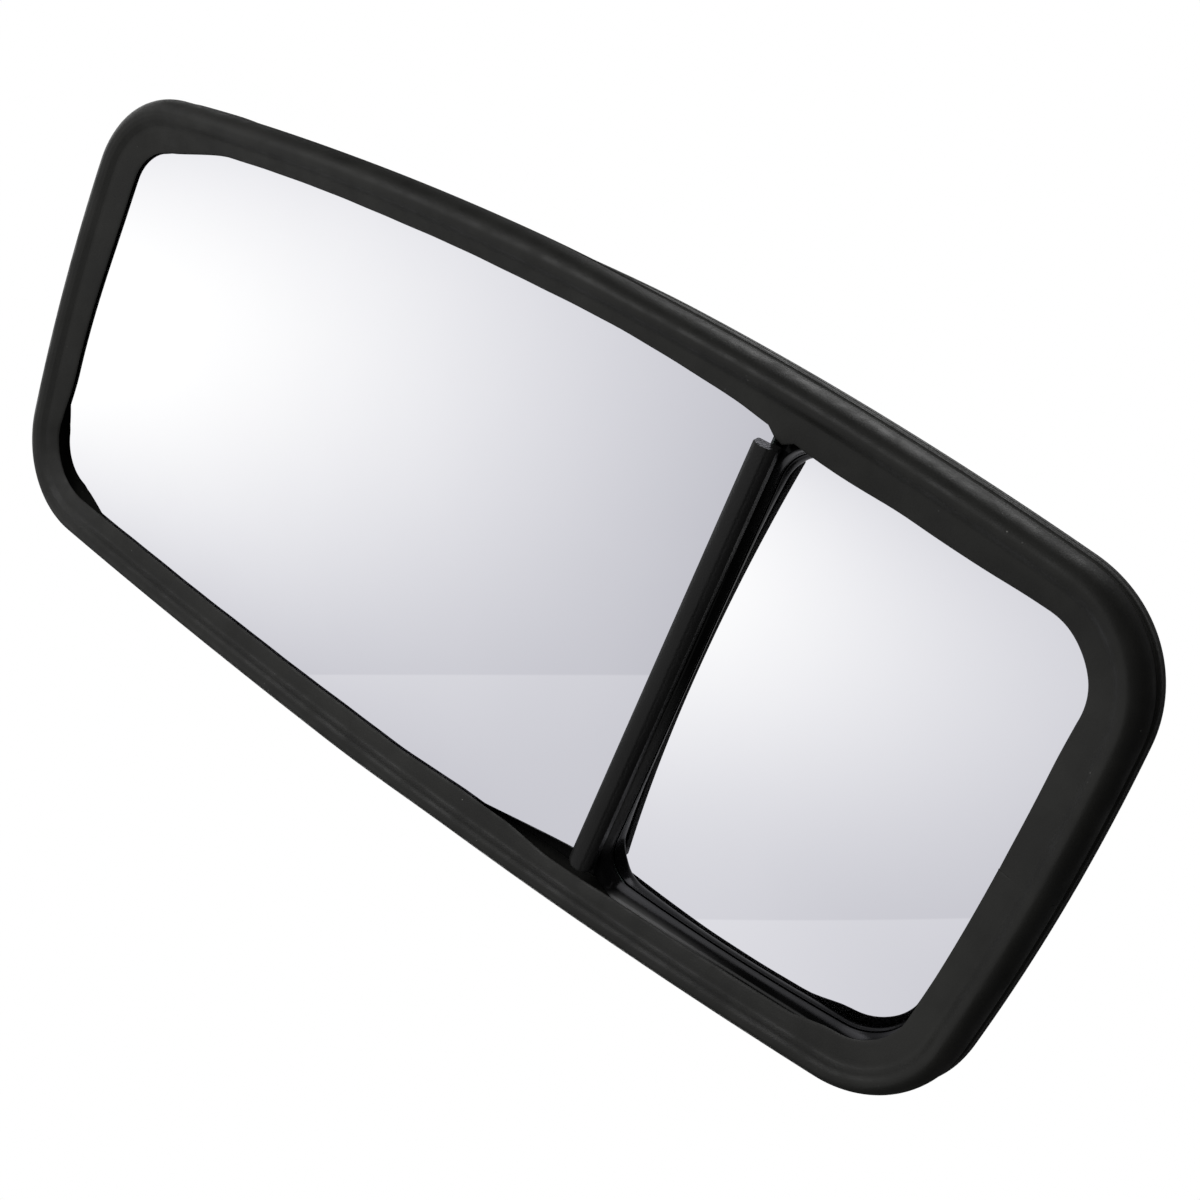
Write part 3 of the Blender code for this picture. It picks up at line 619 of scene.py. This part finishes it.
# ---- mirror glasses --------------------------------------------------------------------------
def main_ring(inset, y, low):
    """The head's outline inset, cut off behind the divider, with its left corners relieved."""
    pts = []
    for x, z, nx, nz in OUTLINE:
        d = inset + (MAIN_RELIEF * blend((-5.0 - z) / 100.0) if x < -60 else 0.0)
        d += 0.8 * MAIN_RELIEF * blend((-x - 25.0) / 35.0) * blend((z - 150.0) / 30.0)
        pts.append((x - d * nx, z - d * nz))
    keep = [p for p in pts if p[1] > low + 1.6]
    split = next(i for i, p in enumerate(keep) if p[0] < 0 and p[1] < keep[i - 1][1]
                 and keep[(i + 1) % len(keep)][0] > 0)
    left, right = keep[:split + 1], keep[split + 1:]
    t = (keep[split][1] - low) * 0.1
    xl, xr = left[-1][0], right[0][0]
    foot = [(xl + t, low)] + [(xl + (xr - xl) * k / 6, low) for k in range(1, 6)] + [(xr - t, low)]
    line = np.array(left + foot + right)
    return np.stack((line[:, 0], FACE + y + 0 * line[:, 0], line[:, 1]), 1)


def glass_side(centre, normal):
    return 0 if normal.y < -0.9 else 2 if normal.y > 0.9 else 1


main_rings = [main_ring(MAIN_INSET + d, GLASS_Y + y, MAIN_LOW + d) for d, y in
              ((0.55, 0.0), (0.2, 0.15), (0.0, 0.45), (0.0, GLASS_T - 0.4), (0.4, GLASS_T))]
loft("main_glass", main_rings, [MIRROR, GLASS_EDGE, GLASS_BACK], "head",
     ["main_mirror_glass"], smooth=10, pick=glass_side)


def bowed(inset, crown, scale=1.0):
    """A ring on the convex surface; beside the divider it lies further in, less at the corners."""
    x, z, nx, nz = WIDE.T
    d = inset + np.maximum(nz, 0.0) * (1.1 - 0.000375 * x * x)
    px = (x - d * nx) * scale
    pz = WIDE_CENTRE + (z - d * nz - WIDE_CENTRE) * scale
    y = FACE + crown + (px ** 2 + (pz - WIDE_CENTRE) ** 2) / (2 * WIDE_RADIUS)
    return np.stack((px, y, pz), 1)


steps = np.linspace(0.02, 0.98, 40)
wide_rings = [bowed(2.3, CROWN, s) for s in steps] + [bowed(2.3, CROWN), bowed(1.95, CROWN + 0.12),
                                                      bowed(1.85, CROWN + 0.4)]
wide_rings += [bowed(1.85, CROWN + WIDE_T - 0.4), bowed(2.25, CROWN + WIDE_T)]
wide_rings += [bowed(2.25, CROWN + WIDE_T, s) for s in steps[::-5]]
loft("wide_glass", wide_rings, [WIDE_MIRROR, GLASS_EDGE, GLASS_BACK], "head",
     ["wide_angle_glass"], smooth=30, pick=glass_side)

# ---- wide angle frame ------------------------------------------------------------------------
SCREWS_MAIN = [(-42.0, 118.0), (42.0, 118.0)]
SCREWS_WIDE = [(-38.0, -140.0), (38.0, -140.0)]


def shift(x, z, far):
    """How far the frame's flange tucks behind the gasket."""
    return -far * blend((-102.0 - z) / 9.0)


def toward(a, b, d, t):
    """A ring between two, d of the way across and t of the way in depth."""
    return a + (b - a) * (d, t, d)


def below(x, z):
    return blend((-93.0 - z) / 6.0)


def rise(x, z):
    """1 on the left below the divider, where the ridge stands up under the gasket's lip."""
    return below(x, z) * blend((-x - 35.0) / 20.0)


def outside(x, z):
    return -1.2 * below(x, z) - 0.4 * rise(x, z)


def ridge(x, z):
    """Depth of the ridge; outside its rounded top corners the block drops away."""
    return -1.0 - 0.7 * rise(x, z)


def drop(x, z):
    return 2.0 * blend((np.abs(x) - 58.0) / 8.0) * blend((z + 106.0) / 6.0)


frame_rings = [ring(WIDE_OUT, lambda x, z: shift(x, z, 6.3), 9.8),
               ring(WIDE_OUT, lambda x, z: shift(x, z, 6.3), 7.8),
               ring(WIDE_OUT, outside, 7.8), ring(WIDE_OUT, outside, 1.6)]
frame_rings += [ring(WIDE_OUT, lambda x, z, d=d: outside(x, z) + d,
                     lambda x, z, h=h: ridge(x, z) + drop(x, z) + h)
                for d, h in ((0.03, 0.5), (0.1, 0.25), (0.25, 0.08), (0.5, 0.0))]
brow = ring(WIDE, lambda x, z: 0.85 - 1.6 * rise(x, z), ridge)
brink = bowed(2.3, CROWN - 0.55)
frame_rings += [toward(brow, brink, t, 0.25 * t + 0.75 * t ** 3.5) for t in np.linspace(0, 1, 17)]
frame_rings += [bowed(2.34, CROWN - 0.45), bowed(2.32, CROWN - 0.34), bowed(1.5, CROWN - 0.32),
                bowed(1.5, 0.0) * (1, 0, 1) + (0, FACE + FLOOR, 0)]
loft("wide_frame", frame_rings, [GLOSS], "head", ["wide_angle_frame"],
     smooth=50)

# ---- divider bar -----------------------------------------------------------------------------
BAR_HIGH, BAR_LOW, BAR_EDGE, BAR_BACK, FOOT_BACK = -83.6, -91.6, -4.4, -1.6, 5.6
BAR_MID = (BAR_HIGH + BAR_LOW) / 2
# the rounded front, with a fine step along it
front = [(BAR_HIGH + (BAR_LOW - BAR_HIGH) * t,
          BAR_EDGE - 1.58 * (1 - abs(2 * t - 1) ** 2.6) + (0.08 if t > 0.7 else 0.0))
         for t in (0.0, 0.02, 0.05, 0.09, 0.15, 0.24, 0.36, 0.5, 0.62, 0.69, 0.71, 0.78, 0.85, 0.91,
                   0.95, 0.98, 1.0)]
# its back, with a foot that runs down between the two glasses
bar_line = front + rounded([(BAR_LOW, BAR_EDGE), (BAR_LOW, BAR_BACK), (-89.9, BAR_BACK),
                            (-89.9, FOOT_BACK), (-88.7, FOOT_BACK), (-88.7, -2.4),
                            (BAR_HIGH, -2.4), (BAR_HIGH, BAR_EDGE)], 0.3, 5)[1:-1]
bar_line = np.array(bar_line)
bar_rings = []
# each ring's place along X, its size, how much of the front is cut off, and whether it has the foot
for x, grow, lift, foot in ((-75.35, 0.30, 1.2, 0), (-75.2, 0.55, 0.55, 0), (-74.85, 0.75, 0.2, 0),
                            (-74.3, 0.90, 0.04, 0), (-73.4, 1, 0, 0), (-70.0, 1, 0, 0),
                            (-69.7, 1, 0, 1), (-40, 1, 0, 1), (0, 1, 0, 1), (40, 1, 0, 1),
                            (65.0, 1, 0, 1), (65.3, 1, 0, 0), (68.75, 1, 0, 0), (69.1, 0.995, 0.0, 0),
                            (69.25, 0.98, 0.03, 0), (69.35, 0.955, 0.08, 0)):
    z = BAR_MID + (bar_line[:, 0] - BAR_MID) * grow
    y = bar_line[:, 1] if foot else np.minimum(bar_line[:, 1], -1.55)
    y = np.maximum(y, -6.0 + lift)
    xx = x + ((y + 6.0) * 0.35 if x > 68 else 0 * y)
    bar_rings.append(np.stack((xx, FACE + y, z), 1))
loft("divider", bar_rings, [BLACK], "head", ["divider_bar"], smooth=42)

# ---- ball socket -----------------------------------------------------------------------------
SCREWS_SOCKET = [(26.5 * math.cos(a), 26.5 * math.sin(a))
                 for a in (math.pi / 2, math.pi * 7 / 6, math.pi * 11 / 6)]


def sphere_arc(radius, a0, a1, n):
    a = np.radians(np.linspace(a0, a1, n + 1))
    return list(zip(radius * np.sin(a), BALL_Y + radius * np.cos(a)))


inner_y = FACE + REAR - WALL
rear = FACE + REAR
cup = sphere_arc(SOCKET_R, 176, 90, 30)
cup += rounded([(SOCKET_R, BALL_Y), (SOCKET_R, inner_y - GAP), (33.0, inner_y - GAP),
                (33.0, inner_y - 4.3), (23.5, inner_y - 4.3), (21.6, inner_y - 7.0)], 0.6)[1:]
cup += sphere_arc(21.5, 94, 176, 20)
loft("socket_cup", lathe(cup), [BLACK], "head", ["socket_plate"])
cap = sphere_arc(SOCKET_R, 59, 45.5, 16)
cap += rounded([cap[-1], (15.6, rear + 4.3), (16.6, rear + 4.8), (21.0, rear + 3.6),
                (31.2, rear + 3.6), (33.0, rear + 2.2), (33.0, rear + GAP), (17.1, rear + GAP),
                (17.1, inner_y + 0.1)], 0.5)[1:]
loft("socket_retainer", lathe(cap, 128), [BLACK_STEEL], "head", ["socket_ring"],
     closed=True)
seat = sphere_arc(14.3, 52, 128, 30) + sphere_arc(17.7, 128, 52, 30)
loft("seat_ring", lathe(seat), [NYLON], "ball_seat", ["ball_seat"], closed=True, smooth=30)


def pan_screw(name, node, x, z, seat_y, length):
    """Pan head screw pointing along -Y, with a six sided socket."""
    head = rounded([(1.3, seat_y + 1.0), (1.3, seat_y + 2.5), (2.6, seat_y + 2.4),
                    (3.4, seat_y + 1.8), (3.8, seat_y + 0.9), (3.8, seat_y), (1.7, seat_y),
                    (1.7, seat_y - length + 1.2), (0.7, seat_y - length)], 0.3)
    body = [(0.4, seat_y + 0.9)] + head
    hexes = [k for k, (r, y) in enumerate(body) if k and r < 1.45 and y > seat_y + 0.5]
    loft(name, lathe(body, 48, x, z, hexes), [ZINC], "head", [node])


for k, (x, z) in enumerate(SCREWS_SOCKET):
    pan_screw(f"retainer_screw_{k + 1}", f"socket_screw_{k + 1}", x, z, rear + 3.9, 10.4)
for k, (x, z) in enumerate(SCREWS_MAIN + SCREWS_WIDE):
    pan_screw(f"back_screw_{k + 1}", f"housing_screw_{k + 1}", x, z, rear + GAP, 22.0)


# ---- threaded parts --------------------------------------------------------------------------
def thread_rings(r, y0, y1, pitch, depth, n=60, per=8):
    """Rings of a right-handed screw thread of outside radius r, fading in at both ends."""
    rings = []
    count = int(round(abs(y1 - y0) / pitch * per))
    a = np.linspace(0, 2 * math.pi, n, endpoint=False)
    for k in range(count + 1):
        y = y0 + (y1 - y0) * k / count
        phase = (y / pitch - a / (2 * math.pi)) % 1.0
        tooth = np.clip(np.abs(phase - 0.5) * 2.4 - 0.1, 0, 1)
        fade = min(1.0, k / per, (count - k) / per)
        rr = r - depth * (tooth * fade + (1 - fade))
        rings.append(np.stack((rr * np.cos(a), y + 0 * a, rr * np.sin(a)), 1))
    return rings


back = PLATE_Y + PLATE_T
neck = math.degrees(math.asin(5.5 / BALL_R))
stud = sphere_arc(BALL_R, 174, neck, 60)
stud += rounded([stud[-1], (5.5, PLATE_Y - 5.5), (7.5, PLATE_Y - 4.6), (9.3, PLATE_Y - 4.4),
                 (9.3, PLATE_Y - GAP), (6.0, PLATE_Y - GAP), (6.0, back + 4.0)], 0.35)[1:]
hexes = [k for k, (r, y) in enumerate(stud) if r > 8.6 and y > PLATE_Y - 4.6]
stud_rings = lathe(stud, 60, hexes=hexes) + thread_rings(6.0, back + 4.1, -19.9, 1.75, 0.55)
stud_rings += lathe([(4.9, -19.2)], 60)
loft("stud", stud_rings, [ZINC], "ball_stud", ["ball_stud"], smooth=32)
washer = rounded([(6.4, back + 1.2), (6.4, back + GAP), (12.0, back + GAP), (12.0, back + 2.2),
                  (6.4, back + 2.2), (6.4, back + 1.2)], 0.3)[:-1]
loft("stud_washer_detail", lathe(washer), [ZINC], "ball_stud", ["stud_washer"],
     closed=True)


def hex_nut(name, node, body, bore, flats, y0, y1, x=0.0, z=0.0):
    """A nut with chamfered corners: rings go from the bore round the outside and back."""
    a = np.linspace(0, 2 * math.pi, 72, endpoint=False)
    hexa = hexagon(flats, a)
    rings = []
    for r, y, six in ((bore, y0 + 0.6, 0), (bore + 0.5, y0, 0), (flats * 0.97, y0, 0),
                      (None, y0, 1), (None, y1, 2), (flats * 0.97, y1, 0), (bore + 0.5, y1, 0),
                      (bore, y1 - 0.6, 0)):
        if six:
            # chamfer: the corners drop back from the face as they pass the cone
            drop = np.clip((hexa - flats * 0.99) * 0.58, 0, None)
            yy = y0 + drop if six == 1 else y1 - drop
            rings.append(np.stack((x + hexa * np.cos(a), yy, z + hexa * np.sin(a)), 1))
        else:
            rings.append(np.stack((x + r * np.cos(a), y + 0 * a, z + r * np.sin(a)), 1))
    return loft(name, rings, [ZINC], body, [node], closed=True, smooth=22)


hex_nut("stud_nut_detail", "stud_nut", "ball_stud", 6.3, 9.2, back + 2.5, back + 10.4)


# ---- tube clamp ------------------------------------------------------------------------------
CLAMP_H = 44.0
SPLIT = 0.8
BOLTS = [(-30.0, 0.0), (30.0, 0.0)]


def half_circle(r, side, split, n=64):
    a0 = math.asin(split / r)
    a = np.linspace(a0, math.pi - a0, n + 1)
    return [(r * math.cos(t), side * r * math.sin(t)) for t in a]


def round_some(points, radii):
    """A closed outline with chosen corners rounded; radii maps index to radius."""
    p = [np.array(q, float) for q in points]
    out = []
    for i, b in enumerate(p):
        if i not in radii:
            out.append(tuple(b))
            continue
        a, c = p[i - 1], p[(i + 1) % len(p)]
        u, v = (a - b) / np.linalg.norm(a - b), (c - b) / np.linalg.norm(c - b)
        s, e = b + u * radii[i], b + v * radii[i]
        out += [tuple((1 - t) ** 2 * s + 2 * t * (1 - t) * b + t * t * e)
                for t in np.linspace(0, 1, 7)]
    return out


def prism(outline, h):
    """Two rings along Z, h above and below the middle."""
    return [np.array([(x, y, z) for x, y in outline]) for z in (-h, h)]


def casting(name, node, outline, cutters):
    """A prism along Z with drilled holes and softened edges."""
    ob = loft(name, prism(outline, CLAMP_H / 2), [CASTING], "clamp", [node],
              smooth=30)
    tools = []
    for rings in cutters:
        mesh = solid_mesh("tool", np.vstack(rings), skin(rings), weld=False)
        tool = bpy.data.objects.new("tool", mesh)
        bpy.context.scene.collection.objects.link(tool)
        tools.append(tool)
        mod = ob.modifiers.new("cut", "BOOLEAN")
        mod.operation, mod.solver, mod.object = "DIFFERENCE", "EXACT", tool
    soft = ob.modifiers.new("soft", "BEVEL")
    soft.width, soft.segments, soft.limit_method = 0.7 * MM, 3, "ANGLE"
    soft.angle_limit = math.radians(40)
    bpy.context.view_layer.update()
    made = bpy.data.meshes.new_from_object(ob.evaluated_get(bpy.context.evaluated_depsgraph_get()))
    ob.modifiers.clear()
    ob.data = made
    made.shade_smooth()
    made.set_sharp_from_angle(angle=math.radians(30))
    even = ob.modifiers.new("even", "WEIGHTED_NORMAL")
    even.keep_sharp = True
    for tool in tools:
        bpy.data.objects.remove(tool)
    return ob


base_line = [(-22.0, PLATE_Y), (22.0, PLATE_Y), (22.0, -18.5), (20.0, -16.0), (20.0, -12.0),
             (38.0, -12.0), (38.0, -SPLIT)]
base_line += half_circle(13.3, -1, SPLIT) + [(-38.0, -SPLIT), (-38.0, -12.0)]
base_line += [(-20.0, -12.0), (-20.0, -16.0), (-22.0, -18.5)]
count = len(base_line)
soft_corners = {0: 3.0, 1: 3.0, 2: 1.2, 3: 1.2, 4: 1.9, 5: 2.5, count - 4: 2.5, count - 3: 1.9,
                count - 2: 1.2, count - 1: 1.2}
base_line = round_some(base_line, soft_corners)
window = round_some([(-15, back), (15, back), (15, -17.8), (-15, -17.8)],
                    {0: 2.5, 1: 2.5, 2: 2.5, 3: 2.5})
casting("clamp_body", "clamp_base", base_line,
        [prism(window, 30.0), lathe([(6.3, PLATE_Y - 4), (6.3, back + 1)], 64)]
        + [lathe([(4.3, -15), (4.3, 3)], 40, x, z) for x, z in BOLTS])
cap_line = [(38.0, SPLIT), (38.0, 9.0), (19.6, 9.0)]
cap_line += [(18.6 * math.cos(a), 18.6 * math.sin(a))
             for a in np.radians(np.linspace(30, 150, 45))]
cap_line += [(-19.6, 9.0), (-38.0, 9.0), (-38.0, SPLIT)]
cap_line += half_circle(13.3, 1, SPLIT)[::-1]
cap_line = round_some(cap_line, {1: 2.5, 49: 2.5})
casting("clamp_strap", "clamp_cap", cap_line,
        [lathe([(4.3, -3), (4.3, 13)], 40, x, z) for x, z in BOLTS])
for name, node, side in (("liner_front", "clamp_liner_front", -1),
                         ("liner_rear", "clamp_liner_rear", 1)):
    line = half_circle(13.0, side, 1.1) + half_circle(11.0, side, 1.1)[::-1]
    loft(name, prism(line, CLAMP_H / 2 - 0.5), [LINER], "clamp", [node], smooth=30)

for k, (x, z) in enumerate(BOLTS):
    # hexagon head with a domed chamfer, plain shank, then thread
    n = 60
    a = np.linspace(0, 2 * math.pi, n, endpoint=False)
    hexa = hexagon(6.5, a)
    drop = np.clip((hexa - 6.45) * 0.58, 0, None)
    rings = lathe([(0.5, -17.55), (4.0, -17.6), (4.6, -17.8), (6.25, -17.8)], n, x, z)
    rings.append(np.stack((x + hexa * np.cos(a), -17.8 + drop, z + hexa * np.sin(a)), 1))
    rings += lathe([(6.5, -12.45)], n, x, z, hexes=(0,))
    rings += lathe([(6.1, -12.3), (4.0, -12.3), (4.0, 10.0)], n, x, z)
    rings += [r + (x, 0, z) for r in thread_rings(4.0, 10.1, 19.3, 1.25, 0.42, n)]
    rings += lathe([(3.1, 20.0), (0.4, 20.0)], n, x, z)
    loft(f"bolt_{k + 1}", rings, [ZINC], "clamp", [f"clamp_bolt_{k + 1}"], smooth=24)
    ring_line = rounded([(4.3, 10.1), (4.3, 9.3), (8.4, 9.3), (8.4, 10.9), (4.3, 10.9),
                         (4.3, 10.1)], 0.25)[:-1]
    loft(f"washer_{k + 1}", lathe(ring_line, 64, x, z), [ZINC], "clamp",
         [f"clamp_washer_{k + 1}"], closed=True)
    hex_nut(f"nut_{k + 1}", f"clamp_nut_{k + 1}", "clamp", 4.3, 6.5, 11.2, 17.7, x, z)

# ---- pieces that stay as the frame has them --------------------------------------------------
for node, mat in (("main_foam_pad", FOAM), ("wide_angle_foam_pad", FOAM),
                  ("main_backing_plate", BLACK)):
    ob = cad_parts[node]
    ob.data.materials.clear()
    ob.data.materials.append(mat)

# ---- camera, floor and light -----------------------------------------------------------------
cam_data = bpy.data.cameras.new("camera")
cam = bpy.data.objects.new("camera", cam_data)
bpy.context.scene.collection.objects.link(cam)
right, down, ahead = ((0.3694, 0.53145, -0.7623), (-0.87771, -0.06991, -0.47406),
                      (-0.30524, 0.8442, 0.44064))
turn = Matrix((right, [-v for v in down], [-v for v in ahead])).transposed().to_4x4()
turn.translation = (0.13274, -0.46368, -0.24334)
cam.matrix_world = turn
cam_data.sensor_width = 36.0
cam_data.lens = 41.36
cam_data.clip_start = 0.01
bpy.context.scene.camera = cam
bpy.context.scene.view_settings.view_transform = "Standard"

FLOOR_RADIUS, FLOOR_Z = 1.25, -0.42
floor_mesh = bpy.data.meshes.new("floor")
floor_mesh.from_pydata([(FLOOR_RADIUS * math.cos(a), FLOOR_RADIUS * math.sin(a), FLOOR_Z)
                        for a in np.linspace(0, 2 * math.pi, 96, endpoint=False)], [],
                       [tuple(range(96))])
floor = bpy.data.objects.new("floor", floor_mesh)
bpy.context.scene.collection.objects.link(floor)
fs = Shade("floor_look", rough=0.7, specular=0.2)
floor_mesh.materials.append(fs.done(fs.mix(fs.noise(3, 3), (0.88, 0.88, 0.88), (0.92, 0.92, 0.92))))
fs.bsdf.inputs["Emission Color"].default_value = (1, 1, 1, 1)
fs.bsdf.inputs["Emission Strength"].default_value = 0.45
# seen in reflections the floor is dim, like the rest of the studio away from the card
ft = fs.tree
dim = ft.nodes.new("ShaderNodeBsdfDiffuse")
dim.inputs["Color"].default_value = (0.08, 0.08, 0.08, 1)
pick, seen = ft.nodes.new("ShaderNodeMixShader"), ft.nodes.new("ShaderNodeLightPath")
ft.links.new(seen.outputs["Is Camera Ray"], pick.inputs["Fac"])
ft.links.new(dim.outputs[0], pick.inputs[1])
ft.links.new(fs.bsdf.outputs[0], pick.inputs[2])
ft.links.new(pick.outputs[0], ft.nodes["Material Output"].inputs["Surface"])


def area(name, place, target, wide, tall, power, along=None):
    """A soft box; along is the direction its width runs in."""
    data = bpy.data.lights.new(name, "AREA")
    data.shape = "RECTANGLE"
    data.size, data.size_y = wide, tall
    data.energy = power
    ob = bpy.data.objects.new(name, data)
    bpy.context.scene.collection.objects.link(ob)
    ahead = (Vector(target) - Vector(place)).normalized()
    side = (Vector(along) - ahead * ahead.dot(Vector(along))).normalized() if along else \
        ahead.cross(Vector((0, 0, 1))).normalized()
    up = side.cross(ahead)
    turned = Matrix((side, up, -ahead)).transposed().to_4x4()
    turned.translation = place
    ob.matrix_world = turned
    return ob


area("key_right", (0.77, -1.16, 0.50), (0.0, -0.1, 0), 0.7, 0.9, 14.0)
area("fill_low", (0.95, -0.55, -0.75), (0.0, -0.1, -0.1), 0.9, 0.9, 7.0)
area("back_left", (-1.1, 1.2, 0.7), (0, 0, 0), 1.2, 1.2, 14.0)
area("back_right", (1.2, 1.1, 0.3), (0, 0, 0), 0.8, 0.8, 8.0)
area("top", (0.0, 0.2, 1.5), (0, 0, 0), 1.2, 1.2, 8.0)

world = bpy.data.worlds.new("studio")
bpy.context.scene.world = world
world.use_nodes = True
tree = world.node_tree
tree.nodes.clear()
# a soft card in front and above, on a dim surround; the backdrop itself is white
CARD = Vector((-0.33, -0.82, 0.40)).normalized()
coord = tree.nodes.new("ShaderNodeTexCoord")
dot = tree.nodes.new("ShaderNodeVectorMath")
dot.operation = "DOT_PRODUCT"
tree.links.new(coord.outputs["Generated"], dot.inputs[0])
dot.inputs[1].default_value = CARD
ramp = tree.nodes.new("ShaderNodeValToRGB")
ramp.color_ramp.interpolation = "EASE"
stops = [(0.0, 0.055), (0.30, 0.09), (0.55, 0.34), (0.78, 1.03), (1.0, 1.03)]
band = ramp.color_ramp
while len(band.elements) < len(stops):
    band.elements.new(0.5)
for el, (at, v) in zip(band.elements, stops):
    el.position = at
    el.color = (v, v, v, 1)
tree.links.new(dot.outputs["Value"], ramp.inputs["Fac"])
light = tree.nodes.new("ShaderNodeBackground")
tree.links.new(ramp.outputs["Color"], light.inputs["Color"])
white = tree.nodes.new("ShaderNodeBackground")
white.inputs["Color"].default_value = (1, 1, 1, 1)
path = tree.nodes.new("ShaderNodeLightPath")
both = tree.nodes.new("ShaderNodeMixShader")
tree.links.new(path.outputs["Is Camera Ray"], both.inputs["Fac"])
tree.links.new(light.outputs[0], both.inputs[1])
tree.links.new(white.outputs[0], both.inputs[2])
out = tree.nodes.new("ShaderNodeOutputWorld")
tree.links.new(both.outputs[0], out.inputs["Surface"])
